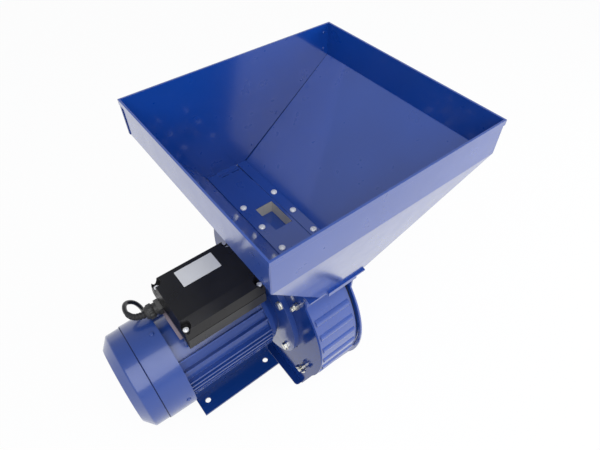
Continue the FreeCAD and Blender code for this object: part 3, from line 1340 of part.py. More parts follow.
def feet():
    """Two pressed feet under the housing rails, and the bolts that hold them."""
    bolts = []
    for label, side in (("near", -1), ("far", 1)):
        owner = new_body("foot_" + label)
        outline = new_sketch(owner, "foot_outline_" + label, "YZ_Plane", "-foot_length / 2")
        web = "(rail_outer + foot_web)"
        corners = [
            ("foot_half", "0"), (web + " - foot_wall", "0"),
            (web + " - foot_wall", "rail_bottom - foot_wall"), ("rail_inner", "rail_bottom - foot_wall"),
            ("rail_inner", "rail_bottom"), (web, "rail_bottom"), (web, "foot_wall"),
            ("foot_half", "foot_wall"),
        ]
        polygon(outline, [("%d * (%s)" % (side, level), upright) for level, upright in corners])
        pad(owner, "foot_pad_" + label, outline, "foot_length")
        holes = new_sketch(owner, "foot_holes_" + label, "XY_Plane", "0")
        for end in (-1, 1):
            circle(holes, ("%d * foot_hole_x / 2" % end, "%d * foot_hole_y / 2" % side), "foot_hole")
        pocket(owner, "foot_hole_cut_" + label, holes, "foot_wall", reverse=True)
        upper = new_sketch(owner, "foot_bolt_holes_" + label, "XY_Plane", "rail_bottom")
        for centre in rail_bolt_places(side):
            circle(upper, centre, "rail_bolt_radius + bore_play")
        pocket(owner, "foot_bolt_cut_" + label, upper, "foot_wall")
        keep(owner, "motor_foot_" + label)
        for end, centre in enumerate(rail_bolt_places(side)):
            low = "rail_bottom - foot_wall"
            head = hexagon("foot_bolt_head_%s_%d" % (label, end), centre + (low + " - 4",), "z", "10", "4")
            shank = rod("foot_bolt_shank_%s_%d" % (label, end), centre + (low,), "z",
                        "rail_bolt_radius", "rail_bolt_length")
            bolts.append(fuse("foot_bolt_%s_%d" % (label, end), [head, shank]))
    keep(group("foot_bolt_set", bolts), "foot_bolts")


# Capacitor box

BOX_X = "box_length / 2 - box_start"
GLAND_HEIGHT = "box_seat + gland_rise"


def box_screw_places():
    """Places of the four cover screws."""
    return [
        ("%s + %d * box_screw_x / 2" % (BOX_X, end), "%d * box_screw_y / 2" % side)
        for end in (-1, 1)
        for side in (-1, 1)
    ]


def box_shell(name, low, high, shrink_low, shrink_high, wall="0"):
    """A drafted block centred on the box, less a wall all round."""
    def corner(shrink, sign):
        return ("%s %s (box_length / 2 - (%s) - (%s))" % (BOX_X, sign, shrink, wall),
                "%s(box_half - (%s) - (%s))" % (sign, shrink, wall))
    return taper(name, corner(shrink_low, "-") + (low,), corner(shrink_low, "+") + (high,),
                 corner(shrink_high, "-"), corner(shrink_high, "+"))


def box_plan():
    """The box's rounded plan, as a tall prism that trims its corners."""
    owner = new_body("box_plan")
    outline = new_sketch(owner, "box_plan_outline", "XY_Plane", "box_seat")
    rectangle(outline, ("-box_start", "-box_half"), ("box_length - box_start", "box_half"))
    prism = pad(owner, "box_plan_pad", outline, "box_top - box_seat")
    round_edges(owner, "box_plan_corners", prism, "box_corner",
                lambda edge, middle: abs(edge.tangentAt(edge.FirstParameter).z) > 0.9)
    return owner


def lid_wedge(name, drop, lean):
    """What the sloped near edge of the cover takes off, lowered by drop."""
    owner = new_body(name)
    outline = new_sketch(owner, name + "_outline", "YZ_Plane", "-box_start - 1")
    edge = "box_half - %s" % lean
    top = "box_top - (%s)" % drop
    outside = "-(%s) - cut_margin" % edge
    polygon(outline, [
        ("lid_slope - (%s)" % edge, top), (outside, top),
        (outside, "%s - lid_drop * (lid_slope + cut_margin) / lid_slope" % top),
    ])
    pad(owner, name + "_pad", outline, "box_length + 2")
    return owner


def terminal_box():
    """Box base, gasket, cover and cover screws."""
    lean = "(box_top - box_joint) * tan(box_draft)"
    plan = box_plan()
    base = box_shell("base_outer", "box_seat", "box_joint - box_gasket", "2", "0")
    hollow = box_shell("base_inner", "box_seat + box_wall", "box_joint", "2", "0", "box_wall")
    bosses = []
    for number, (place_x, place_y) in enumerate(box_screw_places()):
        bosses.append(rod("boss_%d" % number, (place_x, place_y, "box_seat"), "z", "6",
                          "box_joint - box_gasket - box_seat"))
    entry = rod("gland_entry", ("-box_start - 1", "gland_y", GLAND_HEIGHT), "x",
                "gland_radius - gland_wall", "box_wall + cut_margin")
    shell = fuse("base_shell", [cut("base_hollow", base, hollow)] + bosses)
    outer_limit = box_shell("base_limit", "box_seat", "box_joint - box_gasket", "2", "0")
    trimmed = common("base_trimmed", [shell, outer_limit, plan])
    keep(cut("base_done", trimmed, entry), "box_base")

    ring = box_shell("gasket_ring", "box_joint - box_gasket", "box_joint", "1", "1")
    opening = box_shell("gasket_opening", "box_joint - 2 * box_gasket", "box_joint + 1", "1", "1",
                        "box_wall")
    keep(common("box_gasket_trimmed", [cut("box_gasket_cut", ring, opening), plan]), "box_gasket")

    cover = box_shell("cover_outer", "box_joint", "box_top", "0", lean)
    room = box_shell("cover_inner", "box_joint - 1", "box_top - box_wall", "0", lean, "box_wall")
    inside = cut("cover_room", room, lid_wedge("lid_wedge_inner", "box_wall", lean))
    recesses = []
    for number, (place_x, place_y) in enumerate(box_screw_places()):
        recesses.append(rod("recess_%d" % number, (place_x, place_y, "recess_height"), "z",
                            "recess_radius", "box_top"))
        recesses.append(rod("cover_bore_%d" % number, (place_x, place_y, "box_joint - 1"), "z", "2.3",
                            "box_top"))
    limit = cut("cover_limit_sloped", box_shell("cover_limit", "box_joint", "box_top", "0", lean),
                lid_wedge("lid_wedge_outer", "0", lean))
    wells = fuse("cover_wells", [
        rod("well_%d" % number, (place_x, place_y, "box_joint"), "z", "recess_radius + 2",
            "box_top - box_joint")
        for number, (place_x, place_y) in enumerate(box_screw_places())
    ])
    solid = fuse("cover_solid", [cut("cover_hollow", cover, inside), wells])
    trimmed = common("cover_trimmed", [solid, limit, plan])
    keep(cut("cover_done", trimmed, fuse("cover_recesses", recesses)), "box_cover")

    screws = []
    for number, (place_x, place_y) in enumerate(box_screw_places()):
        shank = rod("box_screw_shank_%d" % number, (place_x, place_y, "box_joint - box_gasket"), "z",
                    "2", "recess_height - box_joint + box_gasket")
        head = cone("box_screw_head_%d" % number, (place_x, place_y, "recess_height"), "z",
                    "4.6", "3.4", "3")
        screws.append(fuse("box_screw_%d" % number, [shank, head]))
    keep(group("box_screw_set", screws), "box_screws")


def box_contents():
    """Capacitor and terminal block inside the box."""
    shelf = "box_seat + box_wall"
    can = rod("can", (BOX_X + " - can_start", "16", shelf + " + capacitor_radius"), "x",
              "capacitor_radius", "can_length")
    tab_start = BOX_X + " - can_start + can_length"
    tabs = [
        block("can_tab_%d" % number,
              (tab_start, "%d" % level, shelf + " + capacitor_radius - can_tab_half"),
              (tab_start + " + can_tab", "%d" % (level + 1), shelf + " + capacitor_radius + can_tab_half"))
        for number, level in enumerate((8, 24))
    ]
    keep(fuse("capacitor_body", [can] + tabs), "capacitor")
    base = block("terminal_base", (BOX_X + " - 40", "-42", shelf), (BOX_X + " + 30", "-20", shelf + " + 12"))
    posts = [
        rod("terminal_post_%d" % number, (BOX_X + " + %d" % (14 * number - 34), "-31", shelf + " + 12"),
            "z", "3.5", "6")
        for number in range(5)
    ]
    keep(fuse("terminal_body", [base] + posts), "terminal_block")


def cable_gland():
    """Cable gland in the rear wall of the box."""
    bore = "cord_radius + bore_play"
    wall = "-box_start"
    end = wall + " - gland_length"
    at = (end, "gland_y", GLAND_HEIGHT)
    neck = rod("gland_neck", at, "x", "gland_radius - gland_skin", "gland_length")
    collar = hexagon("gland_collar", (wall + " - gland_collar", "gland_y", GLAND_HEIGHT), "x",
                     "2 * gland_radius + gland_wall", "gland_collar")
    hole = rod("gland_bore", (end + " - 1", "gland_y", GLAND_HEIGHT), "x", bore, "gland_length + 2")
    keep(cut("gland_cut", fuse("gland_outer", [neck, collar]), hole), "cable_gland")
    cap_end = end + " - 2"
    cap = fuse("gland_cap_outer", [
        hexagon("gland_cap_hex", (end + " + 3", "gland_y", GLAND_HEIGHT), "x", "2 * gland_radius + 2", "9"),
        cone("gland_cap_nose", (cap_end, "gland_y", GLAND_HEIGHT), "x", "gland_radius - 2",
             "gland_radius", "5"),
    ])
    inner_bore = rod("gland_cap_bore", (end, "gland_y", GLAND_HEIGHT), "x", "gland_radius - gland_skin",
                     "gland_cap_bore")
    mouth = rod("gland_cap_mouth", (cap_end + " - 1", "gland_y", GLAND_HEIGHT), "x", bore, "4")
    keep(cut("gland_cap_cut", cap, fuse("gland_cap_hollow", [inner_bore, mouth])), "gland_nut")


# Supply cord

def cord_path(points):
    """Straight runs joined by tangent arcs, each as large as its two runs allow."""
    share = 0.45
    edges = []
    radii = []
    start = points[0]
    for before, corner, after in zip(points, points[1:], points[2:]):
        way_in = (corner - before).normalize()
        way_out = (after - corner).normalize()
        turn = way_in.getAngle(way_out)
        reach = share * min((corner - before).Length, (after - corner).Length)
        radius = reach / math.tan(turn / 2)
        first = corner - way_in * reach
        last = corner + way_out * reach
        towards = (way_out - way_in).normalize()
        centre = corner + towards * (radius / math.cos(turn / 2))
        middle = centre - towards * radius
        edges.append(Part.LineSegment(start, first).toShape())
        edges.append(Part.Arc(first, middle, last).toShape())
        radii.append(radius)
        start = last
    edges.append(Part.LineSegment(start, points[-1]).toShape())
    return Part.Wire(edges), radii


def plug():
    """A two pin plug resting on top of the coil."""
    middle = DISCHARGE + " + coil_height + gate_play + plug_width / 2"
    level = "coil_y - coil_radius + coil_width - plug_offset"
    start = "coil_x - plug_length / 2"
    body = rod("plug_body", (start, level, middle), "x", "plug_width / 2", "plug_length")
    sleeve = cone("plug_sleeve", (start + " - 16", level, middle), "x", "cord_radius + 1",
                  "plug_width / 2 - 2", "16")
    pins = [
        rod("plug_pin_%d" % number, (start + " + plug_length", "%s + %s" % (level, offset), middle), "x",
            "2.4", "17")
        for number, offset in enumerate((-9.5, 9.5))
    ]
    return fuse("plug_whole", [body, sleeve] + pins)


def cord():
    """The cord's tube, its coil and its plug, lying behind the machine."""
    points = [FreeCAD.Vector(*point) for point in CORD_ROUTE]
    path, radii = cord_path(points)
    print("cord radii", [round(radius, 1) for radius in radii])
    way = points[1] - points[0]
    section = Part.Wire(Part.makeCircle(size("cord_radius"), points[0], way))
    tube_shape = path.makePipeShell([section], True, False)
    expected = math.pi * size("cord_radius") ** 2 * path.Length
    print("cord length %.1f volume ratio %.4f" % (path.Length, tube_shape.Volume / expected))
    tube = doc.addObject("Part::Feature", "cord_tube")
    tube.Shape = tube_shape
    keep(tube, "power_cord")

    ground = DISCHARGE
    inner = "coil_radius - coil_width"
    coil = turned("coil_ring", [[
        ("0", inner + " + coil_edge"), ("coil_edge", inner),
        ("coil_height - coil_edge", inner), ("coil_height", inner + " + coil_edge"),
        ("coil_height", "coil_radius - coil_edge"), ("coil_height - coil_edge", "coil_radius"),
        ("coil_edge", "coil_radius"), ("0", "coil_radius - coil_edge"),
    ]])
    coil.Placement = FreeCAD.Placement(FreeCAD.Vector(), FreeCAD.Rotation(FreeCAD.Vector(0, 1, 0), -90))
    keep(place(coil, ("coil_x", "coil_y", ground)), "cord_coil")
    keep(plug(), "mains_plug")


def build():
    """Make every piece."""
    fill_sheet()
    hopper()
    seam_rivets()
    floor_screws()
    seat_and_gate()
    chamber_plates()
    drum_shells()
    screen()
    fasteners()
    rotor_discs()
    hammers()
    shaft_line()
    motor_housing()
    end_bells()
    stator()
    fan_cowl()
    cowl_screws()
    cooling_fan()
    feet()
    terminal_box()
    box_contents()
    cable_gland()
    cord()
    doc.recompute()


def check():
    """Stop if anything failed to build."""
    faults = []
    for thing in doc.Objects:
        if "Invalid" in thing.State or "Error" in thing.State:
            faults.append("%s (%s) %s" % (thing.Name, thing.Label, thing.State))
    for thing in pieces:
        if thing.Shape.isNull() or not thing.Shape.isValid() or not thing.Shape.Solids:
            faults.append("%s has no sound shape" % thing.Label)
    if faults:
        raise RuntimeError("; ".join(faults))


def write():
    """Write each piece to its own file."""
    os.makedirs("parts", exist_ok=True)
    for thing in pieces:
        thing.Shape.exportStep("parts/%s.step" % thing.Label)


build()
check()
write()
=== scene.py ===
import bpy
import bmesh
import math
from mathutils import Matrix, Vector


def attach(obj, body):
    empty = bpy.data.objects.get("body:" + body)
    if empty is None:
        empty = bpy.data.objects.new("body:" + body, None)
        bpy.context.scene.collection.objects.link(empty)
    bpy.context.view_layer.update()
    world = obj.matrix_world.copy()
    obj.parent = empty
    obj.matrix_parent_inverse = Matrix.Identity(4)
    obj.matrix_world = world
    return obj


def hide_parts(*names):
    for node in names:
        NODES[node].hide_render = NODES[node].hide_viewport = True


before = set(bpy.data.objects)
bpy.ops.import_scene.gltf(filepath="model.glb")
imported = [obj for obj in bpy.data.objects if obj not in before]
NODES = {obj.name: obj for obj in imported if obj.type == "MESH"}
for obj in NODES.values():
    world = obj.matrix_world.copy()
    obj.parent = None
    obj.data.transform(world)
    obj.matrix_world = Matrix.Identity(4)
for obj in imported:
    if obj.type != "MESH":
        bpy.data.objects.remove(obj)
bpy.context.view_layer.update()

MM = 0.001


# Camera

CAMERA_PLACE = (-0.1343, -0.4299, 0.8384)
CAMERA_RIGHT = (0.7877, -0.6161, 0.0)
CAMERA_FORWARD = (0.4115, 0.5267, -0.7439)
CAMERA_LENS = 28.05
CAMERA_SENSOR = 36
CAMERA_REACH = (0.02, 60)


def camera():
    """The photograph's viewpoint, solved from the hopper rim and the motor."""
    data = bpy.data.cameras.new("photo_camera")
    data.lens = CAMERA_LENS
    data.sensor_width = CAMERA_SENSOR
    data.clip_start, data.clip_end = CAMERA_REACH
    view = bpy.data.objects.new("photo_camera", data)
    right = Vector(CAMERA_RIGHT).normalized()
    forward = Vector(CAMERA_FORWARD).normalized()
    up = right.cross(forward)
    turn = Matrix((right, up, -forward)).transposed().to_4x4()
    view.matrix_world = Matrix.Translation(CAMERA_PLACE) @ turn
    bpy.context.collection.objects.link(view)
    bpy.context.scene.camera = view


# Material building: noise scales are per metre, bump heights in metres

NOISE_LOW = 0.3
NOISE_HIGH = 0.7
PAINT_WAVE = 0.12 * MM
PAINT_PEEL = 0.002 * MM
METAL_GRAIN = 0.01 * MM
SMOOTH_GRAIN = 0.01 * MM
MOULDED_GRAIN = 0.03 * MM
FOAM_GRAIN = 0.06 * MM


class Shader:
    """A small helper that wires a node material."""

    def __init__(self, name):
        self.material = bpy.data.materials.new(name)
        self.material.use_nodes = True
        self.tree = self.material.node_tree
        self.tree.nodes.clear()
        self.output = self.add("ShaderNodeOutputMaterial")
        self.surface = self.add("ShaderNodeBsdfPrincipled")
        self.link(self.surface, "BSDF", self.output, "Surface")
        self.coordinates = self.add("ShaderNodeTexCoord")

    def add(self, kind, **settings):
        """A new node with some of its own settings."""
        node = self.tree.nodes.new(kind)
        for key, value in settings.items():
            setattr(node, key, value)
        return node

    def link(self, source, out, target, into):
        """A wire from one node's output to another's input."""
        self.tree.links.new(source.outputs[out], target.inputs[into])

    def set(self, **values):
        """Values on the shader's own sockets, with spaces written as underscores."""
        for key, value in values.items():
            self.surface.inputs[key.replace("_", " ")].default_value = value

    def noise(self, scale, detail, roughness=0.5, stretch=(1, 1, 1)):
        """Noise in the object's own space."""
        mapping = self.add("ShaderNodeMapping")
        mapping.inputs["Scale"].default_value = stretch
        self.link(self.coordinates, "Object", mapping, "Vector")
        texture = self.add("ShaderNodeTexNoise")
        texture.inputs["Scale"].default_value = scale
        texture.inputs["Detail"].default_value = detail
        texture.inputs["Roughness"].default_value = roughness
        self.link(mapping, "Vector", texture, "Vector")
        return texture

    def colour(self, noise, dark, base, low=NOISE_LOW, high=NOISE_HIGH):
        """A base colour that drifts between two colours with a noise."""
        ramp = self.add("ShaderNodeValToRGB")
        first, last = ramp.color_ramp.elements
        first.position, last.position = low, high
        first.color, last.color = (*dark, 1), (*base, 1)
        self.link(noise, "Fac", ramp, "Fac")
        self.link(ramp, "Color", self.surface, "Base Color")

    def roughness(self, noise, low, high):
        """A roughness that drifts between two values with a noise."""
        node = self.add("ShaderNodeMapRange")
        node.inputs["From Min"].default_value = NOISE_LOW
        node.inputs["From Max"].default_value = NOISE_HIGH
        node.inputs["To Min"].default_value = low
        node.inputs["To Max"].default_value = high
        self.link(noise, "Fac", node, "Value")
        self.link(node, "Result", self.surface, "Roughness")

    def bump(self, heights, bevel):
        """Bump from (noise, height) pairs, over edges that look rounded."""
        before = self.add("ShaderNodeBevel", samples=4)
        before.inputs["Radius"].default_value = bevel
        for noise, height in heights:
            node = self.add("ShaderNodeBump")
            node.inputs["Distance"].default_value = height
            node.inputs["Strength"].default_value = 1.0
            self.link(noise, "Fac", node, "Height")
            self.link(before, "Normal", node, "Normal")
            before = node
        self.link(before, "Normal", self.surface, "Normal")


def paint(name, base, dark, roughness=0.3, ior=1.5, coat=1.0, coat_ior=1.8, haze=0.11,
          bevel=0.6 * MM):
    """Gloss paint over steel: slight colour drift, orange peel, haze and a hard clear skin."""
    s = Shader(name)
    s.colour(s.noise(scale=9, detail=3), dark, base)
    s.roughness(s.noise(scale=40, detail=2), roughness * 0.9, roughness * 1.15)
    waves = s.noise(scale=24, detail=1)
    peel = s.noise(scale=210, detail=0)
    s.bump([(waves, PAINT_WAVE), (peel, PAINT_PEEL)], bevel)
    s.set(IOR=ior, Coat_Weight=coat, Coat_Roughness=haze, Coat_IOR=coat_ior)
    return s.material


def metal(name, base, dark, roughness, stretch=(1, 1, 1), metallic=1.0):
    """Bare or plated metal with faint grain and dull patches."""
    s = Shader(name)
    s.colour(s.noise(scale=70, detail=5, roughness=0.6), dark, base, low=0.35, high=0.65)
    fine = s.noise(scale=900, detail=3, stretch=stretch)
    s.roughness(fine, roughness * 0.7, roughness * 1.4)
    s.bump([(fine, METAL_GRAIN)], bevel=0.3 * MM)
    s.set(Metallic=metallic)
    return s.material


def plastic(name, base, dark, roughness, grain=MOULDED_GRAIN, ior=1.45):
    """Moulded plastic or rubber with a fine leather grain."""
    s = Shader(name)
    patches = s.noise(scale=25, detail=4)
    s.colour(patches, dark, base)
    s.roughness(patches, roughness * 0.85, roughness * 1.15)
    s.bump([(s.noise(scale=1400, detail=2), grain)], bevel=0.5 * MM)
    s.set(IOR=ior)
    return s.material


def paints():
    """The blue paints, darker copies of the blue as painted shade and dark reflection on the feet
    and the rear plate, and a dark paint as painted shade in grooves and joints.
    """
    return {
        "sheet": paint("blue_sheet_paint", (0.004, 0.054, 0.33), (0.003, 0.046, 0.29)),
        "cast": paint("blue_cast_paint", (0.016, 0.058, 0.28), (0.012, 0.047, 0.24),
                      roughness=0.35, coat=0.7, coat_ior=1.5, haze=0.12, bevel=1.5 * MM),
        # Darker copy of the sheet blue: painted shade and dark reflection on the rear plate and the
        # far corner lap
        "plate_shade": paint("blue_plate_shade_paint", (0.008, 0.04, 0.22), (0.006, 0.03, 0.18),
                       roughness=0.12, ior=1.27, coat=0.0),
        # Darker copy of the blue: painted dark reflection on the motor feet
        "feet": paint("blue_foot_shade_paint", (0.003, 0.032, 0.18), (0.0025, 0.028, 0.16),
                      ior=1.3, coat=0.3),
        # Dark paint as painted shade in the cowl's groove, under the floor joint and along the
        # hopper seam
        "groove": paint("groove_paint", (0.004, 0.016, 0.09), (0.003, 0.011, 0.06),
                        roughness=0.5, ior=1.3, coat=0.0),
    }


def metals():
    """Plated, bare and wound metals."""
    return {
        "bright": metal("bright_zinc", (0.95, 0.95, 0.95), (0.88, 0.88, 0.89), 0.3,
                        metallic=0.25),
        "zinc": metal("pale_zinc", (0.86, 0.84, 0.74), (0.66, 0.65, 0.58), 0.24),
        "steel": metal("plain_steel", (0.42, 0.42, 0.43), (0.3, 0.3, 0.31), 0.36),
        "ground": metal("ground_steel", (0.6, 0.6, 0.61), (0.48, 0.48, 0.49), 0.22),
        "laminate": metal("stator_laminate", (0.25, 0.25, 0.26), (0.16, 0.16, 0.17), 0.45,
                          stretch=(40, 1, 1)),
        "copper": metal("copper_wire", (0.62, 0.24, 0.09), (0.4, 0.14, 0.05), 0.3,
                        stretch=(1, 8, 8)),
    }


def plastics():
    """Plastics, rubber, foam and the bare label."""
    return {
        "plate_label": plastic("bare_label", (0.72, 0.72, 0.71), (0.66, 0.66, 0.65), 0.4,
                               SMOOTH_GRAIN),
        "black": plastic("black_box_plastic", (0.012, 0.0115, 0.0125), (0.008, 0.0075, 0.0085),
                         0.3, ior=1.4),
        "grey": plastic("dark_gland_plastic", (0.045, 0.044, 0.042), (0.03, 0.03, 0.029), 0.5),
        "pale": plastic("pale_chute_plastic", (0.7, 0.67, 0.58), (0.6, 0.57, 0.49), 0.5),
        "cord": plastic("cord_rubber", (0.016, 0.016, 0.016), (0.01, 0.01, 0.01), 0.24,
                        SMOOTH_GRAIN),
        "seal": plastic("seal_rubber", (0.02, 0.02, 0.021), (0.013, 0.013, 0.014), 0.6),
        "foam": plastic("pad_seal_foam", (0.33, 0.27, 0.32), (0.24, 0.2, 0.24), 0.7, FOAM_GRAIN),
        "can": plastic("capacitor_shell", (0.5, 0.5, 0.48), (0.42, 0.42, 0.4), 0.3),
    }


NODE_LOOKS = {
    "sheet": ["hopper_left_panel", "hopper_right_panel", "hopper_near_panel", "hopper_far_panel",
              "seat_plate", "slide_gate", "drum_shell_near", "drum_shell_far", "front_cover",
              "seam_rivets"],
    # The motor feet take the darker blue as painted dark reflection
    "feet": ["motor_foot_near", "motor_foot_far"],
    # The rear plate takes the darker blue as painted shade and dark reflection
    "plate_shade": ["rear_plate"],
    "cast": ["motor_housing", "front_bell", "rear_bell", "fan_cowl", "cowl_screws"],
    "bright": ["floor_screws", "box_screws"],
    "zinc": ["clamp_studs", "flange_bolts", "flange_nuts", "floor_nuts", "foot_bolts",
             "wing_nut_1", "wing_nut_2", "wing_nut_3", "wing_nut_4", "rotor_bolt"],
    "steel": ["sieve_ring", "rotor_disc_rear", "rotor_disc_front", "rotor_hub", "hammer_1",
              "hammer_2", "hammer_3", "hammer_4", "hammer_sleeves"],
    "ground": ["motor_shaft", "hammer_pins", "shaft_key", "front_bearing", "rear_bearing"],
    "laminate": ["stator_core", "rotor_core"],
    "copper": ["stator_windings"],
    "black": ["box_base", "box_cover", "terminal_block"],
    "grey": ["cable_gland", "gland_nut", "cooling_fan", "mains_plug"],
    "pale": ["feed_chute"],
    "cord": ["power_cord", "cord_coil"],
    "seal": ["front_gasket", "box_gasket"],
    "can": ["capacitor"],
}


def dress_nodes(looks):
    """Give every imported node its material."""
    for look, names in NODE_LOOKS.items():
        for name in names:
            slots = NODES[name].data.materials
            slots.clear()
            slots.append(looks[look])


# Pieces: sizes and places are in millimetres, in the frame of the solids

def add_piece(name, bm, look, smooth=True):
    """Close a bmesh into an object, dress it and let it ride on the machine."""
    bmesh.ops.recalc_face_normals(bm, faces=bm.faces)
    mesh = bpy.data.meshes.new(name)
    bm.to_mesh(mesh)
    bm.free()
    thing = bpy.data.objects.new(name, mesh)
    bpy.context.collection.objects.link(thing)
    mesh.materials.append(look)
    if smooth:
        mesh.shade_smooth()
    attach(thing, "machine")
    return thing


def seated(place, axis):
    """The frame whose origin is a place and whose Z is an axis."""
    turn = Vector((0, 0, 1)).rotation_difference(Vector(axis)).to_matrix().to_4x4()
    return Matrix.Translation(MM * Vector(place)) @ turn


def skin(bm, rings, closed=False):
    """Faces between neighbouring rings; closed ones join the last to the first, others end flat."""
    following = rings[1:] + rings[:1] if closed else rings[1:]
    for low, high in zip(rings, following):
        for here in range(len(low)):
            after = (here + 1) % len(low)
            bm.faces.new((low[here], low[after], high[after], high[here]))
    if not closed:
        bm.faces.new(list(reversed(rings[0])))
        bm.faces.new(rings[-1])


def turned(bm, profile, place, axis, steps=32, flutes=0, depth=0.0, closed=False):
    """Turn (radius, height) points about an axis.

    Flutes are shallow grooves along the axis, as deep as that share of the radius."""
    frame_of = seated(place, axis)
    rings = []
    for radius, height in profile:
        ring = []
        for step in range(steps):
            angle = 2 * math.pi * step / steps
            reach = radius * (1 - depth * (0.5 + 0.5 * math.cos(flutes * angle)))
            at = Vector((reach * math.cos(angle), reach * math.sin(angle), height))
            ring.append(bm.verts.new(frame_of @ (MM * at)))
        rings.append(ring)
    skin(bm, rings, closed)


# A screw head's grid lines from edge to edge, with lines at the sides and ends of the cross
CROSS_HALF = 0.13
CROSS_REACH = 0.5
CROSS_DEPTH = 0.5
HEAD_LINES = (-1, -0.86, -0.7, -CROSS_REACH, -0.32, -CROSS_HALF,
              CROSS_HALF, 0.32, CROSS_REACH, 0.7, 0.86, 1)
HEAD_RIM = 0.3
HEAD_ROUND = 0.92


def pan_head(bm, place, radius, height):
    """An upright domed screw head; its seat is at the place.

    The dome's own faces stay over the cross recess, so the recess doesn't show."""
    def at(u, v):
        """A point of the square grid, moved onto the disc and up to the dome."""
        x = u * math.sqrt(1 - v * v / 2)
        y = v * math.sqrt(1 - u * u / 2)
        rise = HEAD_RIM + (1 - HEAD_RIM) * math.sqrt(1 - HEAD_ROUND * (x * x + y * y))
        return MM * (Vector(place) + Vector((radius * x, radius * y, height * rise)))

    grid = [[bm.verts.new(at(u, v)) for v in HEAD_LINES] for u in HEAD_LINES]
    last = len(HEAD_LINES) - 1
    recess = []
    for i in range(last):
        for j in range(last):
            face = bm.faces.new((grid[i][j], grid[i + 1][j], grid[i + 1][j + 1], grid[i][j + 1]))
            across = abs(HEAD_LINES[i] + HEAD_LINES[i + 1]) / 2
            along = abs(HEAD_LINES[j] + HEAD_LINES[j + 1]) / 2
            if min(across, along) < CROSS_HALF and max(across, along) < CROSS_REACH:
                recess.append(face)

    edge = [grid[i][0] for i in range(last)] + [grid[last][j] for j in range(last)]
    edge += [grid[last - i][last] for i in range(last)] + [grid[0][last - j] for j in range(last)]
    foot = [bm.verts.new((corner.co.x, corner.co.y, MM * place[2])) for corner in edge]
    for here in range(len(edge)):
        after = (here + 1) % len(edge)
        bm.faces.new((edge[here], edge[after], foot[after], foot[here]))
    bm.faces.new(foot)

    grown = bmesh.ops.extrude_face_region(bm, geom=recess)["geom"]
    lowered = [item for item in grown if isinstance(item, bmesh.types.BMVert)]
    bmesh.ops.translate(bm, verts=lowered, vec=(0, 0, -MM * height * CROSS_DEPTH))


THREAD_DEPTH = 0.55
THREAD_CHAMFER = 0.3


def thread(bm, place, axis, radius, pitch, turns):
    """A threaded shank as closely set rings, with a chamfered end away from the place."""
    root = radius - THREAD_DEPTH * pitch
    profile = [(root, 0)]
    for turn in range(turns):
        profile += [(root, (turn + 0.1) * pitch), (radius, (turn + 0.5) * pitch),
                    (root, (turn + 0.9) * pitch)]
    profile[-2] = (radius - THREAD_CHAMFER * pitch, profile[-2][1])
    turned(bm, profile, place, axis, steps=16)


HEX_ACROSS = 15
HEX_HEIGHT = 5.5
HEX_TOP = 0.93
HEX_CHAMFER = math.radians(28)
HEX_STEPS = 48
WASHER_RADIUS = 8.4
WASHER_PROFILE = ((WASHER_RADIUS, 0), (WASHER_RADIUS, 0.7), (0.94 * WASHER_RADIUS, 1))


def hex_head(bm, place, axis):
    """A chamfered six sided bolt head with a washer face."""
    frame_of = seated(place, axis)
    flat = HEX_ACROSS / 2 * math.cos(math.pi / 6)
    top = HEX_TOP * flat
    rings = [[], [], []]
    for step in range(HEX_STEPS):
        angle = 2 * math.pi * step / HEX_STEPS
        reach = flat / math.cos((angle % (math.pi / 3)) - math.pi / 6)
        shoulder = HEX_HEIGHT - (reach - top) * math.tan(HEX_CHAMFER)
        levels = ((reach, 0), (reach, shoulder), (top, HEX_HEIGHT))
        for ring, (radius, level) in zip(rings, levels):
            at = Vector((radius * math.cos(angle), radius * math.sin(angle), level))
            ring.append(bm.verts.new(frame_of @ (MM * at)))
    skin(bm, rings)
    turned(bm, WASHER_PROFILE, place, axis)


def rounded_outline(length, width, radius, steps):
    """Points round a rectangle with rounded corners, about its middle."""
    points = []
    for number, (sx, sy) in enumerate(((1, 1), (-1, 1), (-1, -1), (1, -1))):
        for step in range(steps + 1):
            angle = math.pi / 2 * (number + step / steps)
            points.append((sx * (length / 2 - radius) + radius * math.cos(angle),
                           sy * (width / 2 - radius) + radius * math.sin(angle)))
    return points


# Supply cord

CORD_RADIUS = 3.75 * MM
COIL_CENTRE = (60, 173)
COIL_OUTER = 48
COIL_PITCH = 7.5
COIL_FLOOR = -76.2
COIL_TURNS_IN = 2.0
COIL_TURNS_UP = 0.66
COIL_TURNS_OUT = 2.0
COIL_STEPS = 18
PLUG_START = (29, 138.5, -51.65)
CORD_ROUTE = [
    (-79, 33, 186), (-101, 33, 186), (-112, 56, 183.5), (-105, 82, 176), (-90, 89, 158),
    (-82, 93, 128), (-80, 103, 92), (-78, 106, 48), (-74, 108, 4), (-64, 114, -38),
    (-40, 128, -71), (-6, 129, COIL_FLOOR), (24, 125, COIL_FLOOR), (46, 125, COIL_FLOOR),
]
CORD_TAIL = [(10, 179, -67), (9, 161, -62), (16, 146, -55.5), (23, 139.5, -52), PLUG_START]


def coil_points():
    """Two layers of turns: inwards on the floor, then outwards on top of them."""
    points = []
    total = COIL_TURNS_IN + COIL_TURNS_UP + COIL_TURNS_OUT
    inner = COIL_OUTER - COIL_PITCH * COIL_TURNS_IN
    for step in range(1, round(total * COIL_STEPS) + 1):
        turns = step / COIL_STEPS
        angle = -math.pi / 2 + 2 * math.pi * turns
        rise = min(max((turns - COIL_TURNS_IN) / COIL_TURNS_UP, 0), 1)
        outward = max(turns - COIL_TURNS_IN - COIL_TURNS_UP, 0)
        radius = max(COIL_OUTER - COIL_PITCH * turns, inner) + COIL_PITCH * outward
        points.append((COIL_CENTRE[0] + radius * math.cos(angle),
                       COIL_CENTRE[1] + radius * math.sin(angle),
                       COIL_FLOOR + COIL_PITCH * rise))
    return points


def route_points(curve):
    """The points along a curve that has no bevel yet."""
    mesh = bpy.data.meshes.new_from_object(curve)
    points = [vertex.co.copy() for vertex in mesh.vertices]
    bpy.data.meshes.remove(mesh)
    return points


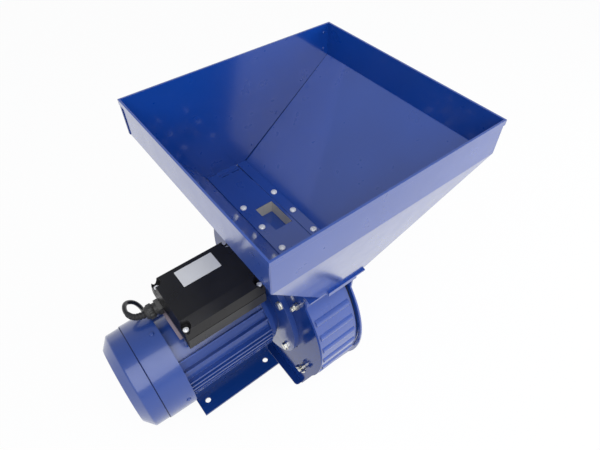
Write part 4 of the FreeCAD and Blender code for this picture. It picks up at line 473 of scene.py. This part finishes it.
def supply_cord(looks):
    """The cord from its gland, down behind the motor, to the coil and the plug."""
    route = CORD_ROUTE + coil_points() + CORD_TAIL
    data = bpy.data.curves.new("supply_cord", "CURVE")
    data.dimensions = "3D"
    spline = data.splines.new("NURBS")
    spline.points.add(len(route) - 1)
    for point, place in zip(spline.points, route):
        point.co = (*(MM * value for value in place), 1)
    spline.order_u = 3
    spline.use_endpoint_u = True
    data.resolution_u = 8
    data.materials.append(looks["cord"])
    piece = bpy.data.objects.new("supply_cord", data)
    bpy.context.collection.objects.link(piece)
    path = route_points(piece)
    data.bevel_depth = CORD_RADIUS
    data.bevel_resolution = 6
    data.use_fill_caps = True
    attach(piece, "machine")
    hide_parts("power_cord", "cord_coil")
    relief = strain_relief(looks, path)
    plug = mains_plug(looks)


SLEEVE_START = 4
SLEEVE_LENGTH = 36
SLEEVE_TIP = 1.02
SLEEVE_THICK = 6.6
SLEEVE_THIN = 4.5
SLEEVE_END = 3.95
SLEEVE_GROOVE = 0.75
SLEEVE_RINGS = 7
SLEEVE_STEPS = 24
# Share of a ring's length, and whether the groove is cut there
SLEEVE_SHARES = ((0.0, 0), (0.58, 0), (0.68, 1), (0.9, 1))


def sleeve_profile():
    """(distance along the cord, radius) of a tapered sleeve with grooves between its rings."""
    stops = []
    for ring in range(SLEEVE_RINGS):
        for share, cut in SLEEVE_SHARES:
            along = (ring + share) / SLEEVE_RINGS
            radius = SLEEVE_THICK + (SLEEVE_THIN - SLEEVE_THICK) * along - cut * SLEEVE_GROOVE
            stops.append((SLEEVE_START + SLEEVE_LENGTH * along, radius))
    stops.append((SLEEVE_START + SLEEVE_LENGTH, SLEEVE_THIN))
    stops.append((SLEEVE_START + SLEEVE_LENGTH * SLEEVE_TIP, SLEEVE_END))
    return stops


def place_along(path, distance):
    """Point and direction at a distance along a chain of points."""
    for low, high in zip(path, path[1:]):
        run = (high - low).length
        if distance <= run:
            return low.lerp(high, distance / run), (high - low).normalized()
        distance -= run
    raise ValueError("the path is shorter than the sleeve")


def strain_relief(looks, path):
    """The tapered rubber sleeve where the cord leaves the gland."""
    bm = bmesh.new()
    rings = []
    for distance, radius in sleeve_profile():
        centre, way = place_along(path, MM * distance)
        side = way.cross(Vector((0, 0, 1))).normalized()
        over = side.cross(way)
        ring = []
        for step in range(SLEEVE_STEPS):
            angle = 2 * math.pi * step / SLEEVE_STEPS
            arm = side * math.cos(angle) + over * math.sin(angle)
            ring.append(bm.verts.new(centre + MM * radius * arm))
        rings.append(ring)
    skin(bm, rings)
    return add_piece("strain_relief", bm, looks["seal"])


PLUG_WAY = (1, 0, 0)
PLUG_NECK_START = [(4.6, 0), (5.6, 0.8)]
PLUG_NECK_END = [(10.2, 16)]
PLUG_GRIP = ((10.0, 15.2), (11.6, 16.4), (12.3, 19), (12.3, 34), (11.8, 36.4))
PLUG_FACE = ((12.4, 36.2), (13.0, 36.8), (13.0, 45.2), (12.5, 46))
PLUG_PIN = ((2.4, 45.5), (2.4, 61.4), (2.0, 62.5), (1.1, 63))
PIN_OFFSET = 9.5
RIB_COUNT = 5
RIB_START = 1.5
RIB_PITCH = 2.6
RIB_RADIUS = 5.8
RIB_GROWTH = 0.75
# Radius beyond a rib's own and height along it
RIB_SHAPE = ((0, 0), (0.5, 1.4), (-0.7, 1.8), (-0.7, 2.4))


def plug_neck():
    """The (radius, height) points of the plug's ribbed neck."""
    ribs = [(RIB_RADIUS + RIB_GROWTH * rib + out, RIB_START + RIB_PITCH * rib + up)
            for rib in range(RIB_COUNT) for out, up in RIB_SHAPE]
    return PLUG_NECK_START + ribs + PLUG_NECK_END


def mains_plug(looks):
    """A round two pin plug with a ribbed neck and a fluted grip."""
    bm = bmesh.new()
    turned(bm, plug_neck(), PLUG_START, PLUG_WAY)
    turned(bm, PLUG_GRIP, PLUG_START, PLUG_WAY, steps=96, flutes=16, depth=0.07)
    turned(bm, PLUG_FACE, PLUG_START, PLUG_WAY, steps=48)
    plug = add_piece("plug_body", bm, looks["grey"])
    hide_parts("mains_plug")

    bm = bmesh.new()
    x, y, z = PLUG_START
    for offset in (-PIN_OFFSET, PIN_OFFSET):
        turned(bm, PLUG_PIN, (x, y + offset, z), PLUG_WAY, steps=20)
    pins = add_piece("plug_pins", bm, looks["bright"])
    pins.parent = plug
    pins.matrix_parent_inverse = plug.matrix_world.inverted()
    return plug


GLAND_PLACE = (-73, 33, 186)
GLAND_WAY = (-1, 0, 0)
GLAND_SKIRT = ((12.2, 0), (13.0, 0.8), (13.0, 7.4), (12.3, 8.6))
GLAND_NOSE = ((11.6, 8), (11.3, 9.4), (10.6, 11.4), (9.4, 13), (8.0, 13.9), (6.6, 14))


def gland_cap(looks):
    """The gland's fluted nut with its rounded nose."""
    bm = bmesh.new()
    turned(bm, GLAND_SKIRT, GLAND_PLACE, GLAND_WAY, steps=96, flutes=12, depth=0.09)
    turned(bm, GLAND_NOSE, GLAND_PLACE, GLAND_WAY, steps=40)
    cap = add_piece("gland_cap", bm, looks["grey"])
    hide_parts("gland_nut")


TIE_CENTRE = (100.5, 173, -72)
TIE_SIZE = (24.2, 15.8)
TIE_HALF = 2.2
TIE_WALL = 0.9
TIE_CORNER = 4


def coil_tie(looks):
    """A flat strap round the coil's turns."""
    bm = bmesh.new()
    x, y, z = TIE_CENTRE
    length, height = TIE_SIZE
    rings = []
    for inset, side in ((0, TIE_HALF), (TIE_WALL, TIE_HALF), (TIE_WALL, -TIE_HALF), (0, -TIE_HALF)):
        outline = rounded_outline(length - 2 * inset, height - 2 * inset, TIE_CORNER - inset, 4)
        rings.append([bm.verts.new(MM * Vector((x + u, y + side, z + v))) for u, v in outline])
    skin(bm, rings, closed=True)
    add_piece("coil_tie", bm, looks["seal"], smooth=False)


# Fasteners

DOWN = (0, 0, -1)
FORWARD = (1, 0, 0)
BACK = (-1, 0, 0)
SHAFT_HEIGHT = 90
FLOOR_TOP = 240
FLOOR_SCREWS = [(x, y, FLOOR_TOP) for x in (142.5, 209) for y in (-28, 29.5, 87)]
FLOOR_HEAD = (5.6, 3.2)
FLOOR_THREAD = dict(radius=2.5, pitch=0.8, turns=13)
BOX_SCREW_SEAT = 212
BOX_SCREWS = [(x, y, BOX_SCREW_SEAT) for x in (-52.5, 80.5) for y in (-48, 48)]
BOX_HEAD = (4.6, 3)
BOX_THREAD = dict(radius=2, pitch=0.8, turns=16)


def cross_screws(looks, name, places, head, shank, replaced):
    """Upright screws with domed heads and cut threads."""
    bm = bmesh.new()
    for place in places:
        pan_head(bm, place, *head)
        thread(bm, place, DOWN, **shank)
    heads = add_piece(name, bm, looks["bright"], smooth=False)
    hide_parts(replaced)


SPOKES = [(side, angle) for side in (1, -1) for angle in (44, -32)]
STUD_CIRCLE = 151
STUD_THREAD_X = 118
STUD_THREAD = dict(radius=4, pitch=1.25, turns=16)
STUD_SHANK_X = 117.5
STUD_SHANK = ((3.9, 0), (3.9, 84))
STUD_HEAD_X = 201
BOLT_CIRCLE = 100
BOLT_SEAT_X = 102
BOLT_THREAD = dict(radius=4, pitch=1.25, turns=14)


def on_spoke(x, distance, side, angle):
    """A point on one of the four spokes of the rear plate."""
    turn = math.radians(angle)
    return (x, side * distance * math.cos(turn), SHAFT_HEIGHT + distance * math.sin(turn))


def clamp_studs(looks):
    """The chamber's studs: a thread behind the rear plate, a shank and a bolt head in front."""
    bm = bmesh.new()
    for spoke in SPOKES:
        thread(bm, on_spoke(STUD_THREAD_X, STUD_CIRCLE, *spoke), BACK, **STUD_THREAD)
        turned(bm, STUD_SHANK, on_spoke(STUD_SHANK_X, STUD_CIRCLE, *spoke), FORWARD, steps=24)
        hex_head(bm, on_spoke(STUD_HEAD_X, STUD_CIRCLE, *spoke), FORWARD)
    studs = add_piece("threaded_studs", bm, looks["zinc"], smooth=False)
    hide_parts("clamp_studs")


def flange_bolts(looks):
    """The bolts of the motor's flange, with their heads behind the rear plate."""
    bm = bmesh.new()
    for spoke in SPOKES:
        place = on_spoke(BOLT_SEAT_X, BOLT_CIRCLE, *spoke)
        hex_head(bm, place, BACK)
        thread(bm, place, FORWARD, **BOLT_THREAD)
    bolts = add_piece("flange_bolt_heads", bm, looks["zinc"], smooth=False)
    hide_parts("flange_bolts")


def fasteners(looks):
    """Screws, studs and bolts with their real heads and threads over the plain ones."""
    cross_screws(looks, "floor_screw_heads", FLOOR_SCREWS, FLOOR_HEAD, FLOOR_THREAD,
                 "floor_screws")
    cross_screws(looks, "box_screw_heads", BOX_SCREWS, BOX_HEAD, BOX_THREAD, "box_screws")
    clamp_studs(looks)
    flange_bolts(looks)


# Sheet details

RIM_LEFT = 21
RIM_RIGHT = 421
LAP_WALL = 1.2
LAP_BOTTOM = 396.2
LAP_TOP = 447
LAP_ROUNDING = 0.4
# Each side's lap: its two edges across the shaft, and its look; the far lap's darker blue is
# painted shade
CORNER_LAPS = {"near": (-180, -175.2, "sheet"), "far": (191.2, 196, "plate_shade")}
# A dark strip of painted shade under the floor joint's slots
FLOOR_SHADE_STRIP = ((152, 140.6, 237.3), (208, 194.2, 238.5))
STRIP_ROUNDING = 0.3
PAD_SEAL = ((-63.0, -33, 170.8), (-57.6, 33, 171.95))
SEAL_ROUNDING = 0.4
# A dark ring of painted shade in the cowl's groove
GROOVE_SHADE_PLACE = (-129.1, 0, SHAFT_HEIGHT)
GROOVE_SHADE_PROFILE = ((85.2, 0), (86.9, 0), (87.1, 0.5), (86.0, 1.7), (85.2, 1.7))


def strips(name, blocks, rounding, look):
    """A piece of one or more small blocks, each between two corners, with rounded edges."""
    bm = bmesh.new()
    for low, high in blocks:
        centre = MM * (Vector(low) + Vector(high)) / 2
        size = MM * (Vector(high) - Vector(low))
        bmesh.ops.create_cube(bm, size=1.0,
                              matrix=Matrix.Translation(centre) @ Matrix.Diagonal((*size, 1)))
    bmesh.ops.bevel(bm, geom=bm.edges[:], offset=MM * rounding, segments=2, profile=0.5,
                    affect="EDGES")
    add_piece(name, bm, look, smooth=False)


def sheet_details(looks):
    """Corner laps with the far one in painted shade, a dark strip of painted shade under the floor
    joint, a dark ring of painted shade in the cowl's groove, and the box's pad seal.
    """
    for side, (low, high, look) in CORNER_LAPS.items():
        blocks = [((x, low, LAP_BOTTOM), (x + LAP_WALL, high, LAP_TOP))
                  for x in (RIM_LEFT - LAP_WALL, RIM_RIGHT)]
        strips("corner_lap_" + side, blocks, LAP_ROUNDING, looks[look])
    # The strip under the floor joint is painted shade
    strips("floor_joint_shade_strip", [FLOOR_SHADE_STRIP], STRIP_ROUNDING, looks["groove"])

    bm = bmesh.new()
    # The dark ring in the cowl's groove is painted shade
    turned(bm, GROOVE_SHADE_PROFILE, GROOVE_SHADE_PLACE, BACK, steps=96, closed=True)
    add_piece("cowl_groove", bm, looks["groove"])
    strips("box_pad_seal", [PAD_SEAL], SEAL_ROUNDING, looks["foam"])


SEAM_FOOT = (217.6, 194.5, 240)
SEAM_TOP = (419.5, 194.5, 396)
BEAD_RADIUS = 0.8
BEAD_END_RADIUS = 0.4
BEAD_END = 1
RIVET_PLACES = ((236.2, 270), (296.5, 317.25), (356.8, 364.5), (409, 411), (409, 441))
RIVET_DOME = ((0.3, 0), (2.6, 0), (2.55, 0.3), (2.25, 0.7), (1.6, 1.02), (0.7, 1.18), (0.1, 1.2))


def hopper_seam(looks):
    """A dark bead of painted shade along the corner of the far and the right panel, and its rivets'
    round heads.
    """
    along = Vector(SEAM_TOP) - Vector(SEAM_FOOT)
    length = along.length
    bead = ((BEAD_END_RADIUS, 0), (BEAD_RADIUS, BEAD_END),
            (BEAD_RADIUS, length - BEAD_END), (BEAD_END_RADIUS, length))
    bm = bmesh.new()
    turned(bm, bead, SEAM_FOOT, along.normalized(), steps=10)
    add_piece("seam_shade_bead", bm, looks["groove"])

    bm = bmesh.new()
    for x, z in RIVET_PLACES:
        turned(bm, RIVET_DOME, (x, SEAM_FOOT[1], z), (0, -1, 0), steps=24)
    heads = add_piece("seam_rivet_heads", bm, looks["sheet"])
    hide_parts("seam_rivets")


LABEL_PLACE = (14.25, 29, 227)
LABEL_SIZE = (68.5, 35)
LABEL_WALL = 0.4
LABEL_CORNER = 1.2


def box_label(looks):
    """A bare plate on the terminal box."""
    outline = rounded_outline(*LABEL_SIZE, LABEL_CORNER, 5)
    bm = bmesh.new()
    x, y, z = LABEL_PLACE
    skin(bm, [[bm.verts.new(MM * Vector((x + u, y + v, z + rise))) for u, v in outline]
              for rise in (0, LABEL_WALL)])
    add_piece("box_label", bm, looks["plate_label"], smooth=False)


# Studio: sizes and places are in metres, powers in watts

STUDIO_WIDTH = 14
STUDIO_FLOOR = -0.0805
FLOOR_WHITE = 0.9
FLOOR_GLOW = 0.94
# Height above the horizon from 0 to 1, and the wall's colour there
STUDIO_WALL = (
    (0.0, (1.0, 1.0, 1.0)),
    (0.12, (0.9, 0.92, 0.95)),
    (0.3, (0.52, 0.54, 0.58)),
    (1.0, (0.42, 0.44, 0.48)),
)


def studio_world():
    """A surround that is white at the horizon and grey overhead."""
    world = bpy.data.worlds.new("studio")
    bpy.context.scene.world = world
    world.use_nodes = True
    tree = world.node_tree
    tree.nodes.clear()
    output = tree.nodes.new("ShaderNodeOutputWorld")
    light = tree.nodes.new("ShaderNodeBackground")
    direction = tree.nodes.new("ShaderNodeTexCoord")
    parts = tree.nodes.new("ShaderNodeSeparateXYZ")
    ramp = tree.nodes.new("ShaderNodeValToRGB")
    elements = ramp.color_ramp.elements
    for number, (height, colour) in enumerate(STUDIO_WALL):
        element = elements[number] if number < 2 else elements.new(height)
        element.position = height
        element.color = (*colour, 1)
    tree.links.new(direction.outputs["Generated"], parts.inputs[0])
    tree.links.new(parts.outputs["Z"], ramp.inputs[0])
    tree.links.new(ramp.outputs[0], light.inputs["Color"])
    tree.links.new(light.outputs[0], output.inputs["Surface"])


def seen_directly(tree):
    """One where a ray comes from the camera, a reflection or a clear body."""
    path = tree.nodes.new("ShaderNodeLightPath")
    seen = path.outputs["Is Camera Ray"]
    for kind in ("Is Glossy Ray", "Is Transmission Ray"):
        either = tree.nodes.new("ShaderNodeMath")
        either.operation = "MAXIMUM"
        tree.links.new(seen, either.inputs[0])
        tree.links.new(path.outputs[kind], either.inputs[1])
        seen = either.outputs[0]
    return seen


def floor_material():
    """White floor: mostly its own white where seen, partly lit so the shadow stays."""
    material = bpy.data.materials.new("studio_floor_white")
    material.use_nodes = True
    tree = material.node_tree
    tree.nodes.clear()
    output = tree.nodes.new("ShaderNodeOutputMaterial")
    lit = tree.nodes.new("ShaderNodeBsdfDiffuse")
    lit.inputs["Color"].default_value = (FLOOR_WHITE, FLOOR_WHITE, FLOOR_WHITE, 1)
    glow = tree.nodes.new("ShaderNodeEmission")
    glow.inputs["Color"].default_value = (1, 1, 1, 1)
    glow.inputs["Strength"].default_value = 1.0
    share = tree.nodes.new("ShaderNodeMath")
    share.operation = "MULTIPLY"
    share.inputs[1].default_value = FLOOR_GLOW
    tree.links.new(seen_directly(tree), share.inputs[0])
    mix = tree.nodes.new("ShaderNodeMixShader")
    tree.links.new(share.outputs[0], mix.inputs[0])
    tree.links.new(lit.outputs[0], mix.inputs[1])
    tree.links.new(glow.outputs[0], mix.inputs[2])
    tree.links.new(mix.outputs[0], output.inputs["Surface"])
    return material


def studio_floor():
    """A wide level square just under the machine."""
    half = STUDIO_WIDTH / 2
    corners = [(x, y, STUDIO_FLOOR) for x, y in ((-half, -half), (half, -half), (half, half),
                                                 (-half, half))]
    mesh = bpy.data.meshes.new("studio_floor")
    mesh.from_pydata(corners, [], [(0, 1, 2, 3)])
    mesh.materials.append(floor_material())
    floor = bpy.data.objects.new("studio_floor", mesh)
    bpy.context.collection.objects.link(floor)


def lamp(name, place, target, width, power):
    """A soft round lamp aimed at a point."""
    data = bpy.data.lights.new(name, "AREA")
    data.shape = "DISK"
    data.size = width
    data.energy = power
    thing = bpy.data.objects.new(name, data)
    thing.location = place
    aim = Vector(target) - Vector(place)
    thing.rotation_euler = aim.to_track_quat("-Z", "Y").to_euler()
    bpy.context.collection.objects.link(thing)


def stage_and_light():
    """A white floor that keeps a soft shadow, a studio surround and two lamps."""
    studio_world()
    studio_floor()
    lamp("key_light", (-0.45, -1.15, 1.9), target=(0.15, 0.0, 0.2), width=2.2, power=32)
    lamp("side_light", (1.7, -1.2, 1.0), target=(0.2, 0.0, 0.15), width=1.1, power=14)


def main():
    """Dress the frame, add the finer pieces, light and look at it."""
    bpy.context.scene.view_settings.view_transform = "Standard"
    camera()
    looks = {**paints(), **metals(), **plastics()}
    dress_nodes(looks)
    supply_cord(looks)
    gland_cap(looks)
    coil_tie(looks)
    fasteners(looks)
    sheet_details(looks)
    hopper_seam(looks)
    box_label(looks)
    stage_and_light()


main()
